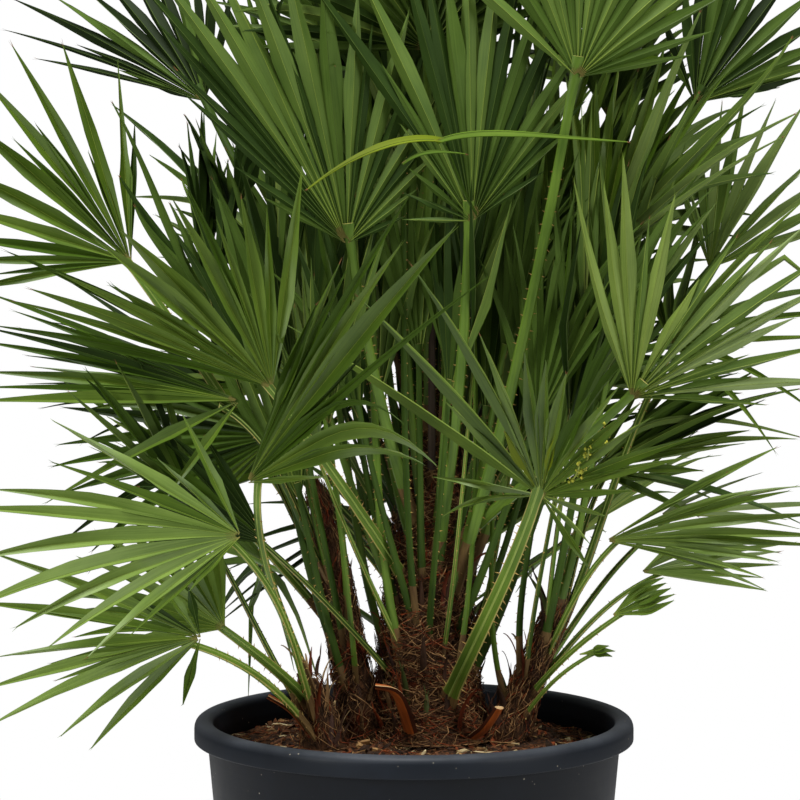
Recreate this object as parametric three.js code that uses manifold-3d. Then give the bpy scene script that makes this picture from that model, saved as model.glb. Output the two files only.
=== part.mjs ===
// Potted European fan palm: a clump of fibrous stems with palmate fronds, in a round black nursery pot.
// Sizes are millimetres and angles degrees, +Z is up and the front looks towards -Y.
// The origin is the centre of the pot's flat underside.

import * as THREE from 'three';
import { mergeVertices } from 'three/addons/utils/BufferGeometryUtils.js';
import Module from 'manifold-3d';

const wasm = await Module();
wasm.setup();

// Gap kept between pieces that touch, and the least gap between pieces that only pass each other
const SEAT_GAP = 0.3;
const PASSING_GAP = 0.6;
const MERGE_TOLERANCE = 1e-4;

// Pot: a thin wall with a slight draft, whose rim is rolled over into a short skirt
const POT_HEIGHT = 400;
const POT_DRAFT = 5.2;
const POT_WALL = 4;
const POT_FLOOR = 5;
const POT_SIDES = 40;
const RIM_RADIUS = 250;
const RIM_INNER_RADIUS = 228;
const RIM_HEIGHT = 24;
const RIM_ROUND = 6;
const RIM_TOP_WALL = 8;
const WALL_TOP_RADIUS = 235;
const FOOT_CHAMFER = 5;
const DRAIN_HOLES = 6;
const DRAIN_RADIUS = 11;
const DRAIN_CIRCLE = 150;
const DRAIN_SIDES = 8;

// Soil: level under the stems, falling a little towards the wall
const SOIL_TOP = 377;
const SOIL_EDGE = 366;
const SOIL_LEVEL_RADIUS = 150;

// Stems, each by stations of [height above the soil, x, y, radius]
const STEM_SIDES = 12;
const STEMS = {
  trunk: [
    [0, 18, 0, 74], [14, 18, 0, 66], [60, 17, 1, 58], [150, 16, 3, 50],
    [280, 20, 10, 36], [360, 19, 13, 25], [395, 18, 14, 13],
  ],
  stem_left: [
    [0, -58, -8, 31], [45, -65, -14, 25], [200, -92, -26, 18], [270, -107, -26, 13], [300, -112, -26, 7],
  ],
  stem_right: [[0, 104, -18, 28], [50, 122, -25, 21], [115, 146, -36, 16], [170, 162, -40, 8]],
  sucker_left: [[0, -100, -68, 27], [40, -107, -76, 21], [85, -118, -86, 11]],
};

// Dead leaf bases, cut off short: foot, head, width and thickness, and the stem each leans on.
// The profile gives half widths, as shares of the width, along the length.
const CUT_BASE_SIDES = 6;
const CUT_BASE_PROFILE = [[0, 0], [0.6, 0], [0.5, 0.55], [0.36, 1], [0, 1]];
const CUT_BASES = {
  cut_base_front: { stem: 'trunk', foot: [0, -56, 384], head: [-42, -104, 432], width: 17, thickness: 9 },
  cut_base_right: { stem: 'trunk', foot: [66, -44, 384], head: [94, -92, 426], width: 16, thickness: 9 },
  cut_base_left: { stem: 'sucker_left', foot: [-114, -80, 392], head: [-162, -88, 438], width: 15, thickness: 9 },
};

// A frond: a flattened leaf stalk, then a fan of leaflets joined over their inner part
const STALK_WIDTH = 15;
const STALK_THICKNESS = 10;
const STALK_TIP_SHARE = 0.62;
const STALK_STEPS = 5;
const STALK_LEAST_SIZE = 0.5;
const STALK_FULL_REACH = 400;
const STALK_SIDES = 4;
const STALK_OVERLAP = 22;
const STALK_ROOT_DEPTH = 0.5;
const STALK_START_OUTWARD = 0.55;
const STALK_START_UPWARD = 0.65;
const STALK_START_LENGTH = 0.34;
const STALK_FINISH_AHEAD = 0.375;
const STALK_FINISH_LENGTH = 0.3;
const BLADE_THICKNESS = 3.4;
const LEAFLET_ANGLE = 12.5;
const LEAFLET_HALF_WIDTH = 11;
const JOINED_SHARE = 0.38;
const WIDEST_SHARE = 0.64;
const SIDE_LEAFLET_SHORTER = 0.24;
const BLADE_CUP = 0.12;
const BLADE_SAG = 0.07;
const LIFTS = [0, 7, -7, 14, -14];
const NUDGES = 14;
const NUDGE_STEP = 11;
const FOOT_STEP = 8;
const LOWEST_FOOT = 14;
const TURN_BETWEEN = 137.508;

// Fronds that the front view shows, by the stem that they grow from
const SHOWN_FRONDS = {
  trunk: [
    { foot: 424, hub: [128, -300, 680], heading: -90, rise: 52, roll: 148, spread: 180, reach: 325 },
    { foot: 600, hub: [-73, -150, 938], heading: -72, rise: 77, roll: -14, spread: 130, reach: 350 },
    { foot: 560, hub: [61, -170, 962], heading: -135, rise: 76, roll: 45, spread: 140, reach: 290 },
    { foot: 520, hub: [169, -190, 1114], heading: -76, rise: 82, roll: -14, spread: 140, reach: 300 },
    { foot: 540, hub: [-151, -200, 785], heading: -158, rise: 46, roll: -86, spread: 90, reach: 275 },
    { foot: 580, hub: [228, -220, 776], heading: -25, rise: 52, roll: -70, spread: 130, reach: 255 },
    { foot: 640, hub: [-243, 100, 1104], heading: 157, rise: 63, roll: 85, spread: 130, reach: 320 },
    { foot: 620, hub: [312, -40, 1094], heading: 11, rise: 62, roll: -79, spread: 130, reach: 270 },
    { foot: 560, hub: [341, 60, 910], heading: 7, rise: 44, roll: -70, spread: 130, reach: 265 },
    { foot: 540, hub: [212, 20, 937], heading: 0, rise: 36, roll: -55, spread: 90, reach: 260 },
    { foot: 610, hub: [-106, 60, 853], heading: 171, rise: 58, roll: 73, spread: 120, reach: 300 },
    { foot: 590, hub: [146, 70, 839], heading: 13, rise: 67, roll: -82, spread: 120, reach: 300 },
    { foot: 560, hub: [129, 150, 741], heading: 25, rise: 52, roll: 45, spread: 110, reach: 250 },
    { foot: 650, hub: [49, 130, 872], heading: 99, rise: 78, roll: 155, spread: 130, reach: 290 },
  ],
  stem_left: [
    { foot: 560, hub: [-191, -120, 767], heading: -170, rise: -13, roll: -53, spread: 100, reach: 285 },
    { foot: 600, hub: [-323, 30, 917], heading: 173, rise: 45, roll: -65, spread: 115, reach: 310 },
  ],
  sucker_left: [
    { foot: 446, hub: [-171, -320, 695], heading: -31, rise: 44, roll: 101, spread: 105, reach: 325 },
    { foot: 414, hub: [-177, -330, 642], heading: -177, rise: 14, roll: -45, spread: 125, reach: 275 },
    { foot: 391, hub: [-222, -280, 531], heading: -169, rise: -8, roll: -46, spread: 122, reach: 245 },
    { foot: 430, hub: [-204, -170, 525], heading: 158, rise: 26, roll: -40, spread: 110, reach: 200 },
  ],
  stem_right: [
    { foot: 470, hub: [211, -100, 612], heading: -5, rise: 18, roll: 52, spread: 105, reach: 222 },
    { foot: 440, hub: [254, -60, 573], heading: 5, rise: -6, roll: 29, spread: 100, reach: 200 },
    { foot: 500, hub: [204, 20, 680], heading: 0, rise: 14, roll: 40, spread: 100, reach: 235 },
    { foot: 424, hub: [214, -150, 536], heading: 0, rise: 22, roll: 70, spread: 24, reach: 80 },
    { foot: 410, hub: [176, -120, 511], heading: 0, rise: 10, roll: 70, spread: 50, reach: 60 },
  ],
};

// The other fronds fill the back, the sides and the top, each a golden angle on from the last.
// Low ones far out to a side grow from that side's stem.
const FILL_TRIES = 84;
const FILL_MOST = 34;
const FILL_LOWEST_FOOT = 465;
const FILL_HIGHEST_FOOT = 735;
const FILL_LOWEST_RISE = 17;
const FILL_HIGHEST_RISE = 84;
const FILL_SHORTEST_STALK = 285;
const FILL_LONGEST_STALK = 520;
const FILL_STALK_STRAY = 0.08;
const FILL_SHORTEST_REACH = 270;
const FILL_LONGEST_REACH = 300;
const FILL_SPREAD = 170;
const FILL_DROOP = 18;
const FILL_ROLL = 58;
const FILL_RISE_STRAY = 12;
const FILL_STEADIER_AT_TOP = 0.6;
const FILL_HUB_SPACING = 119;
const FILL_FRONT_LIMIT = -60;
const FILL_FRONT_OPEN_ABOVE = 1080;
const FILL_SIDE_STEM_REACH = 240;
const FILL_SIDE_STEM_BELOW = 900;
const FILL_SIDE_LOWEST = 0.3;
const FILL_SIDE_HIGHEST = 0.9;

const CHANCE_START = 7919;
const CHANCE_ROUNDS = 3;
const CHANCE_FACTOR = 16807;
const CHANCE_MODULUS = 2147483647;

// The youngest leaf, still folded, stands on the tip of the trunk
const SPEAR_HEIGHT = 430;
const SPEAR_RADIUS = 9;
const SPEAR_SIDES = 6;
const SPEAR_PROFILE = [[0, 0], [0.8, 0], [0.8, 0.3], [1, 0.55], [0.7, 0.85], [0, 1]];

const material = (color, roughness) => (
  new THREE.MeshStandardMaterial({ color, roughness, metalness: 0, flatShading: true }));
const POT_MATERIAL = material(0x23282d, 0.55);
const SOIL_MATERIAL = material(0x5a3d28, 0.95);
const FIBRE_MATERIAL = material(0x4a3424, 0.9);
const CUT_BASE_MATERIAL = material(0x9c4a20, 0.8);
const FROND_MATERIAL = material(0x3f6b2a, 0.5);

const radians = THREE.MathUtils.degToRad;
const lerp = THREE.MathUtils.lerp;
const vector = (values) => new THREE.Vector3(...values);
const along = (origin, direction, distance) => origin.clone().addScaledVector(direction, distance);
const LEVEL = [vector([1, 0, 0]), vector([0, 1, 0])];

// A closed solid from a geometry: shared corners merged, flat triangles dropped, faces turned outwards
function toSolid(geometry) {
  geometry.deleteAttribute('normal');
  geometry.deleteAttribute('uv');
  const merged = mergeVertices(geometry, MERGE_TOLERANCE);
  const position = merged.attributes.position;
  const corner = (index) => new THREE.Vector3().fromBufferAttribute(position, index);
  let triangles = [];
  let volume = 0;
  for (let i = 0; i < merged.index.count; i += 3) {
    const [a, b, c] = [0, 1, 2].map((k) => merged.index.getX(i + k));
    if (a !== b && b !== c && c !== a) {
      triangles.push([a, b, c]);
      volume += corner(a).dot(corner(b).cross(corner(c)));
    }
  }
  if (volume < 0) {
    triangles = triangles.map(([a, b, c]) => [a, c, b]);
  }
  const vertProperties = Float32Array.from(position.array);
  const triVerts = Uint32Array.from(triangles.flat());
  return new wasm.Manifold(new wasm.Mesh({ numProp: 3, vertProperties, triVerts }));
}

function toGeometry(solid) {
  const mesh = solid.getMesh();
  const geometry = new THREE.BufferGeometry();
  geometry.setAttribute('position', new THREE.BufferAttribute(mesh.vertProperties, 3));
  geometry.setIndex(new THREE.BufferAttribute(mesh.triVerts, 1));
  geometry.computeVertexNormals();
  return geometry;
}

// A profile of [radius, height] pairs turned about the Z axis
function turned(profile, sides) {
  const points = profile.map(([radius, height]) => new THREE.Vector2(radius, height));
  const geometry = new THREE.LatheGeometry(points, sides);
  geometry.rotateX(Math.PI / 2);
  return geometry;
}

// A turned profile, whose heights run from 0 to 1, laid along a curve.
// frameAt gives the two directions that the profile's width and thickness lie in.
function limb(curve, profile, sides, frameAt) {
  const geometry = turned(profile, sides);
  const position = geometry.attributes.position;
  const local = new THREE.Vector3();
  for (let i = 0; i < position.count; i += 1) {
    local.fromBufferAttribute(position, i);
    const share = THREE.MathUtils.clamp(local.z, 0, 1);
    const [across, through] = frameAt(share);
    const placed = curve.getPoint(share).addScaledVector(across, local.x).addScaledVector(through, local.y);
    position.setXYZ(i, placed.x, placed.y, placed.z);
  }
  return toSolid(geometry);
}

// Pot

function potSolid() {
  const taper = Math.tan(radians(POT_DRAFT));
  const wallAt = (height) => WALL_TOP_RADIUS - (POT_HEIGHT - RIM_HEIGHT - height) * taper;
  const skirtFoot = POT_HEIGHT - RIM_HEIGHT;
  const rollFoot = POT_HEIGHT - RIM_ROUND;
  const grooveTop = POT_HEIGHT - RIM_TOP_WALL;
  const profile = [
    [0, 0],
    [wallAt(0) - FOOT_CHAMFER, 0],
    [wallAt(FOOT_CHAMFER), FOOT_CHAMFER],
    [wallAt(grooveTop), grooveTop],
    [RIM_RADIUS - POT_WALL, grooveTop],
    [RIM_RADIUS - POT_WALL, skirtFoot],
    [RIM_RADIUS, skirtFoot],
    [RIM_RADIUS, rollFoot],
    [RIM_RADIUS - RIM_ROUND, POT_HEIGHT],
    [RIM_INNER_RADIUS + RIM_ROUND, POT_HEIGHT],
    [RIM_INNER_RADIUS, rollFoot],
    [wallAt(skirtFoot - RIM_HEIGHT) - POT_WALL, skirtFoot - RIM_HEIGHT],
    [wallAt(POT_FLOOR) - POT_WALL, POT_FLOOR],
    [0, POT_FLOOR],
  ];
  let pot = toSolid(turned(profile, POT_SIDES));
  for (let i = 0; i < DRAIN_HOLES; i += 1) {
    const angle = radians((i * 360) / DRAIN_HOLES);
    const hole = new THREE.CylinderGeometry(DRAIN_RADIUS, DRAIN_RADIUS, POT_FLOOR * 4, DRAIN_SIDES);
    hole.rotateX(Math.PI / 2);
    hole.translate(DRAIN_CIRCLE * Math.cos(angle), DRAIN_CIRCLE * Math.sin(angle), 0);
    pot = pot.subtract(toSolid(hole));
  }
  return pot;
}

function soilSolid() {
  const taper = Math.tan(radians(POT_DRAFT));
  const innerAt = (height) => WALL_TOP_RADIUS - (POT_HEIGHT - RIM_HEIGHT - height) * taper - POT_WALL;
  const clear = SEAT_GAP / Math.cos(Math.PI / POT_SIDES);
  const kink = POT_HEIGHT - 2 * RIM_HEIGHT;
  const atKink = innerAt(kink);
  const atEdge = lerp(atKink, RIM_INNER_RADIUS, (SOIL_EDGE - kink) / (POT_HEIGHT - RIM_ROUND - kink));
  return toSolid(turned([
    [0, POT_FLOOR + SEAT_GAP],
    [innerAt(POT_FLOOR) - clear, POT_FLOOR + SEAT_GAP],
    [atKink - clear, kink],
    [atEdge - clear, SOIL_EDGE],
    [SOIL_LEVEL_RADIUS, SOIL_TOP],
    [0, SOIL_TOP],
  ], POT_SIDES));
}

// Stems

const STEM_FOOT = SOIL_TOP + SEAT_GAP;

function stemTop(stem) {
  return STEM_FOOT + stem[stem.length - 1][0];
}

// The middle and the radius of a stem at a height
function stemAt(stem, height) {
  const rise = THREE.MathUtils.clamp(height, STEM_FOOT, stemTop(stem)) - STEM_FOOT;
  const next = Math.max(1, stem.findIndex((station) => station[0] >= rise - MERGE_TOLERANCE));
  const [low, high] = [stem[next - 1], stem[next]];
  const share = (rise - low[0]) / (high[0] - low[0]);
  const [, x, y, radius] = low.map((value, i) => lerp(value, high[i], share));
  return { middle: new THREE.Vector3(x, y, height), radius };
}

// A stem with level rings; extra widens it, for cutting what meets it clear
function stemSolid(stem, extra = 0) {
  const tall = stemTop(stem) - STEM_FOOT;
  const rings = stem.map(([rise, , , radius]) => [radius + extra, rise / tall]);
  const line = { getPoint: (share) => stemAt(stem, STEM_FOOT + share * tall).middle };
  return limb(line, [[0, 0], ...rings, [0, 1]], STEM_SIDES, () => LEVEL);
}

// The two directions square to a curve, the first as near as can be to a given one
function framesAcross(curve, wanted) {
  return (share) => {
    const ahead = curve.getTangent(share);
    const across = along(wanted, ahead, -wanted.dot(ahead)).normalize();
    return [across, ahead.clone().cross(across)];
  };
}

function cutBaseSolid(base) {
  const foot = vector(base.foot);
  const head = vector(base.head);
  const line = new THREE.LineCurve3(foot, head);
  const outward = head.clone().sub(foot).setZ(0);
  const profile = CUT_BASE_PROFILE.map(([half, share]) => [half * base.width, share]);
  const flat = base.thickness / base.width;
  const frames = framesAcross(line, new THREE.Vector3(-outward.y, outward.x, 0));
  const squashed = (share) => {
    const [across, through] = frames(share);
    return [across, through.multiplyScalar(flat)];
  };
  return limb(line, profile, CUT_BASE_SIDES, squashed);
}

// Fronds

// The middle leaflet's direction, the blade's sideways direction, and the way its upper face looks
function bladeAxes(frond) {
  const [heading, rise, roll] = [frond.heading, frond.rise, frond.roll].map(radians);
  const ahead = new THREE.Vector3(
    Math.cos(rise) * Math.cos(heading), Math.cos(rise) * Math.sin(heading), Math.sin(rise));
  const level = new THREE.Vector3(-Math.sin(heading), Math.cos(heading), 0);
  const lifted = ahead.clone().cross(level);
  const side = level.clone().multiplyScalar(Math.cos(roll)).addScaledVector(lifted, Math.sin(roll));
  const face = lifted.clone().multiplyScalar(Math.cos(roll)).addScaledVector(level, -Math.sin(roll));
  return { ahead, side, face };
}

// The stalk leaves the stem outwards and upwards, and ends in line with the blade
function stalkCurve(frond) {
  const stem = STEMS[frond.stem];
  const hub = vector(frond.hub);
  const { middle, radius } = stemAt(stem, frond.foot);
  const outward = hub.clone().sub(middle).setZ(0).normalize();
  const foot = along(middle, outward, radius * STALK_ROOT_DEPTH);
  const direct = hub.clone().sub(foot);
  const length = direct.length();
  direct.normalize();
  const upward = vector([0, 0, STALK_START_UPWARD]);
  const start = along(direct, outward, STALK_START_OUTWARD).add(upward).normalize();
  const { ahead } = bladeAxes(frond);
  const finish = along(direct, ahead, STALK_FINISH_AHEAD).normalize();
  return new THREE.CubicBezierCurve3(
    foot,
    along(foot, start, length * STALK_START_LENGTH),
    along(hub, finish, -length * STALK_FINISH_LENGTH),
    along(hub, ahead, STALK_OVERLAP));
}

function stalkSolid(frond) {
  const curve = stalkCurve(frond);
  const size = Math.min(1, frond.reach / STALK_FULL_REACH + STALK_LEAST_SIZE);
  const profile = [[0, 0]];
  for (let i = 0; i <= STALK_STEPS; i += 1) {
    const share = i / STALK_STEPS;
    profile.push([(size * STALK_WIDTH * lerp(1, STALK_TIP_SHARE, share)) / 2, share]);
  }
  profile.push([0, 1]);
  const { side } = bladeAxes(frond);
  const frames = framesAcross(curve, side);
  const flattened = (share) => {
    const [across, through] = frames(share);
    return [across, through.multiplyScalar(STALK_THICKNESS / STALK_WIDTH)];
  };
  return limb(curve, profile, STALK_SIDES, flattened);
}

function leafletCount(frond) {
  return Math.max(2, Math.round(frond.spread / LEAFLET_ANGLE));
}

// Points of a blade: its hub, the notches between leaflets, and each leaflet's widest stretch and tip
function bladePoints(frond, lifts) {
  const { ahead, side, face } = bladeAxes(frond);
  const hub = vector(frond.hub);
  const count = leafletCount(frond);
  const step = radians(frond.spread) / count;
  const joined = frond.reach * JOINED_SHARE;
  const place = (angle, distance, sideways, lift) => {
    const outward = ahead.clone().multiplyScalar(Math.cos(angle)).addScaledVector(side, Math.sin(angle));
    const across = side.clone().multiplyScalar(Math.cos(angle)).addScaledVector(ahead, -Math.sin(angle));
    const beyond = Math.max(0, distance - joined);
    return along(hub, outward, distance)
      .addScaledVector(across, sideways)
      .addScaledVector(face, distance * BLADE_CUP + beyond * Math.tan(radians(lift)))
      .add(new THREE.Vector3(0, 0, (-BLADE_SAG * distance * distance) / frond.reach));
  };
  const notches = [];
  for (let i = 0; i <= count; i += 1) {
    notches.push(place((i - count / 2) * step, joined, 0, 0));
  }
  const leaflets = lifts.map((lift, i) => {
    if (lift === null) {
      return null;
    }
    const angle = (i + 0.5 - count / 2) * step;
    const aside = (2 * Math.abs(angle)) / radians(frond.spread);
    const length = frond.reach * (1 - SIDE_LEAFLET_SHORTER * aside * aside);
    const half = Math.min(LEAFLET_HALF_WIDTH, joined * step * 0.5);
    const widest = length * WIDEST_SHARE;
    return {
      near: place(angle, widest, -half, lift),
      far: place(angle, widest, half, lift),
      tip: place(angle, length, 0, lift),
    };
  });
  return { hub, face, notches, leaflets };
}

// A thin closed sheet from an outline of points and the triangles that cover it
function sheetSolid(points, sharp, covers, face) {
  const half = BLADE_THICKNESS / 2;
  const position = [];
  const rows = points.map((point, i) => {
    const upper = position.length / 3;
    if (sharp.has(i)) {
      position.push(...point);
      return [upper, upper];
    }
    position.push(...along(point, face, half), ...along(point, face, -half));
    return [upper, upper + 1];
  });
  const triangles = [];
  for (const [a, b, c] of covers) {
    triangles.push(rows[a][0], rows[b][0], rows[c][0], rows[a][1], rows[c][1], rows[b][1]);
  }
  rows.forEach(([upper, lower], i) => {
    const [nextUpper, nextLower] = rows[(i + 1) % rows.length];
    triangles.push(upper, lower, nextLower, upper, nextLower, nextUpper);
  });
  const geometry = new THREE.BufferGeometry();
  geometry.setAttribute('position', new THREE.Float32BufferAttribute(position, 3));
  geometry.setIndex(triangles);
  return toSolid(geometry);
}

// The blade's sheet; with lifts of null it is only the joined inner part
function bladeSolid(frond, lifts) {
  const { hub, face, notches, leaflets } = bladePoints(frond, lifts);
  const points = [hub];
  const sharp = new Set();
  const covers = [];
  notches.forEach((notch, i) => {
    points.push(notch);
    const start = points.length - 1;
    const leaflet = leaflets[i];
    if (leaflet) {
      points.push(leaflet.near, leaflet.tip, leaflet.far);
      sharp.add(start + 2);
      covers.push(...[[0, 1, 3], [0, 3, 4], [1, 2, 3]].map((cover) => cover.map((k) => start + k)));
    }
    if (i < leaflets.length) {
      covers.push([0, start, points.length]);
    }
  });
  return sheetSolid(points, sharp, covers, face);
}

// One leaflet alone, for testing its way
function leafletSolid(frond, lifts, index) {
  const { face, notches, leaflets } = bladePoints(frond, lifts);
  const { near, tip, far } = leaflets[index];
  const points = [notches[index], near, tip, far, notches[index + 1]];
  return sheetSolid(points, new Set([2]), [[0, 1, 3], [0, 3, 4], [1, 2, 3]], face);
}

// Pieces already in place
const placed = [];

function place(name, solid) {
  placed.push({ name, solid, box: solid.boundingBox() });
  return solid;
}

// Whether a solid passes clear of every piece in place but the stem that it grows from
function isClear(solid, ownStem) {
  const box = solid.boundingBox();
  const near = placed.filter((other) => other.name !== ownStem && [0, 1, 2].every((axis) => (
    other.box.min[axis] - PASSING_GAP < box.max[axis] && box.min[axis] - PASSING_GAP < other.box.max[axis])));
  return near.every((other) => solid.minGap(other.solid, PASSING_GAP) >= PASSING_GAP - MERGE_TOLERANCE);
}

// A trial place for a frond: its hub moved a little round its own, and its foot up or down the stem
function nudged(frond, trial) {
  const angle = radians(trial * TURN_BETWEEN);
  const distance = NUDGE_STEP * Math.sqrt(trial);
  const { side, face } = bladeAxes(frond);
  const aside = along(vector(frond.hub), side, distance * Math.cos(angle));
  const moved = along(aside, face, distance * Math.sin(angle));
  const shift = FOOT_STEP * Math.ceil(trial / 2) * (trial % 2 ? 1 : -1);
  return { ...frond, hub: moved.toArray(), foot: Math.max(frond.foot + shift, SOIL_TOP + LOWEST_FOOT) };
}

// A frond in the first trial place whose stalk and joined blade are clear of all before it.
// A leaflet that meets something is lifted or lowered, and left out where that doesn't clear it.
function frondSolid(frond, clearStems) {
  for (let trial = 0; trial < NUDGES; trial += 1) {
    const moved = nudged(frond, trial);
    const bare = Array(leafletCount(frond)).fill(null);
    const stalk = stalkSolid(moved).subtract(clearStems[frond.stem]);
    if (stalk.decompose().length === 1 && isClear(stalk.add(bladeSolid(moved, bare)), frond.stem)) {
      const lifts = bare.map((none, i) => {
        const lift = LIFTS.find((angle) => isClear(leafletSolid(moved, bare.with(i, angle), i), null));
        return lift ?? null;
      });
      return stalk.add(bladeSolid(moved, lifts));
    }
  }
  return null;
}

// A random number from 0 to 1 that is always the same for the same seed
function chance(seed) {
  let state = CHANCE_START * (seed + 1);
  for (let i = 0; i < CHANCE_ROUNDS; i += 1) {
    state = (state * CHANCE_FACTOR) % CHANCE_MODULUS;
  }
  return state / CHANCE_MODULUS;
}

function shownFronds() {
  return Object.entries(SHOWN_FRONDS).flatMap(([stem, fronds]) => (
    fronds.map((frond) => ({ stem, ...frond }))));
}

// The stem that a filling frond grows from, and the height of its foot
function fillStem(hub, climb, trunkFoot) {
  if (hub.z >= FILL_SIDE_STEM_BELOW || Math.abs(hub.x) <= FILL_SIDE_STEM_REACH) {
    return { stem: 'trunk', foot: trunkFoot };
  }
  const stem = hub.x < 0 ? 'stem_left' : 'stem_right';
  const share = lerp(FILL_SIDE_LOWEST, FILL_SIDE_HIGHEST, climb);
  return { stem, foot: lerp(SOIL_TOP, stemTop(STEMS[stem]), share) };
}

// Fronds a golden angle apart that climb the trunk, each with its hub clear of the hubs before it
function fillFronds() {
  const hubs = shownFronds().map((frond) => vector(frond.hub));
  const fronds = [];
  for (let i = 0; i < FILL_TRIES && fronds.length < FILL_MOST; i += 1) {
    const climb = (i + 0.5) / FILL_TRIES;
    const steady = 1 - FILL_STEADIER_AT_TOP * climb;
    const heading = i * TURN_BETWEEN;
    const rise = lerp(FILL_LOWEST_RISE, FILL_HIGHEST_RISE, climb);
    const foot = lerp(FILL_LOWEST_FOOT, FILL_HIGHEST_FOOT, climb);
    const stray = lerp(-FILL_STALK_STRAY, FILL_STALK_STRAY, chance(i));
    const stalk = lerp(FILL_SHORTEST_STALK, FILL_LONGEST_STALK, climb) * (1 + stray);
    const outward = radians(heading);
    const upward = radians(rise);
    const hub = stemAt(STEMS.trunk, foot).middle.add(new THREE.Vector3(
      stalk * Math.cos(upward) * Math.cos(outward),
      stalk * Math.cos(upward) * Math.sin(outward),
      stalk * Math.sin(upward)));
    const seen = hub.y < FILL_FRONT_LIMIT && hub.z < FILL_FRONT_OPEN_ABOVE;
    if (!seen && hubs.every((other) => other.distanceTo(hub) > FILL_HUB_SPACING)) {
      hubs.push(hub);
      const riseStray = lerp(-FILL_RISE_STRAY, FILL_RISE_STRAY, chance(i + 2 * FILL_TRIES));
      fronds.push({
        ...fillStem(hub, climb, foot),
        hub: hub.toArray(),
        heading,
        rise: rise - steady * FILL_DROOP + riseStray,
        roll: steady * lerp(-FILL_ROLL, FILL_ROLL, chance(i + FILL_TRIES)),
        spread: FILL_SPREAD,
        reach: lerp(FILL_LONGEST_REACH, FILL_SHORTEST_REACH, climb),
      });
    }
  }
  return fronds;
}

// The whole plant

const palm = new THREE.Group();
palm.name = 'potted_european_fan_palm';

function show(name, solid, itsMaterial) {
  const mesh = new THREE.Mesh(toGeometry(solid), itsMaterial);
  mesh.name = name;
  palm.add(mesh);
}

function addPotAndSoil() {
  show('pot', place('pot', potSolid()), POT_MATERIAL);
  show('soil', place('soil', soilSolid()), SOIL_MATERIAL);
}

// Each stem is cut clear of those before it; gives each stem's widened shape by name
function addStems() {
  const clearStems = {};
  for (const [name, stem] of Object.entries(STEMS)) {
    let solid = stemSolid(stem);
    for (const other of Object.values(clearStems)) {
      solid = solid.subtract(other);
    }
    clearStems[name] = stemSolid(stem, SEAT_GAP / Math.cos(Math.PI / STEM_SIDES));
    show(name, place(name, solid), FIBRE_MATERIAL);
  }
  return clearStems;
}

function addCutBases(clearStems) {
  for (const [name, base] of Object.entries(CUT_BASES)) {
    show(name, place(name, cutBaseSolid(base).subtract(clearStems[base.stem])), CUT_BASE_MATERIAL);
  }
}

function addFronds(clearStems) {
  [...shownFronds(), ...fillFronds()].forEach((frond, i) => {
    const solid = frondSolid(frond, clearStems);
    if (solid) {
      const name = `frond_${String(i + 1).padStart(2, '0')}`;
      show(name, place(name, solid), FROND_MATERIAL);
    }
  });
}

function addSpear() {
  const foot = stemAt(STEMS.trunk, stemTop(STEMS.trunk)).middle.setZ(stemTop(STEMS.trunk) + SEAT_GAP);
  const line = new THREE.LineCurve3(foot, foot.clone().add(new THREE.Vector3(0, 0, SPEAR_HEIGHT)));
  const profile = SPEAR_PROFILE.map(([share, height]) => [share * SPEAR_RADIUS, height]);
  show('spear', place('spear', limb(line, profile, SPEAR_SIDES, () => LEVEL)), FROND_MATERIAL);
}

addPotAndSoil();
const clearStems = addStems();
addCutBases(clearStems);
addSpear();
addFronds(clearStems);

export default palm;
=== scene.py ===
import math
import random

import bpy
import numpy as np
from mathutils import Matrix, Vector, noise


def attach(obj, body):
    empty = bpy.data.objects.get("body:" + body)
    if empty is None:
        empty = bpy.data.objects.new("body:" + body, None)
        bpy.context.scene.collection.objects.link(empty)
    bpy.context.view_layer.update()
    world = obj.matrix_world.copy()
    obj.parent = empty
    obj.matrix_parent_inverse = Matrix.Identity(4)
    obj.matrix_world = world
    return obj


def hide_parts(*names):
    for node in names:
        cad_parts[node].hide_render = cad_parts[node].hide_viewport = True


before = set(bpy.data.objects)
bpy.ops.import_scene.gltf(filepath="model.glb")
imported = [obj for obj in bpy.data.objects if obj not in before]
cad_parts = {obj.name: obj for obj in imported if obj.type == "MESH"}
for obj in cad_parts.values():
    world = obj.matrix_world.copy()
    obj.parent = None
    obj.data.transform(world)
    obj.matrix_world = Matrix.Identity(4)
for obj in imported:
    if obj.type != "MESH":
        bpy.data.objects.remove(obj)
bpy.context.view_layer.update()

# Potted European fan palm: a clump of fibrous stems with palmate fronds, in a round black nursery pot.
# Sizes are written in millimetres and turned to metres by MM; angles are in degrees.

MM = 0.001


# The photograph's viewpoint: a long lens three metres in front, level with the middle of the crown and
# tipped down a little, in a white studio with an even surround and three soft lamps.

CAMERA_PLACE = (-15.8, -3000, 929)
CAMERA_PITCH = 3.2
FOCAL_PIXELS = 2650
PHOTO_PIXELS = 800
SENSOR = 36

camera_lens = bpy.data.cameras.new("studio_camera")
camera_lens.sensor_width = SENSOR
camera_lens.lens = SENSOR * FOCAL_PIXELS / PHOTO_PIXELS
camera = bpy.data.objects.new("studio_camera", camera_lens)
camera.location = Vector(CAMERA_PLACE) * MM
camera.rotation_euler = (math.radians(90 - CAMERA_PITCH), 0, 0)
bpy.context.scene.collection.objects.link(camera)
bpy.context.scene.camera = camera
bpy.context.scene.view_settings.view_transform = "Standard"

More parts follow.
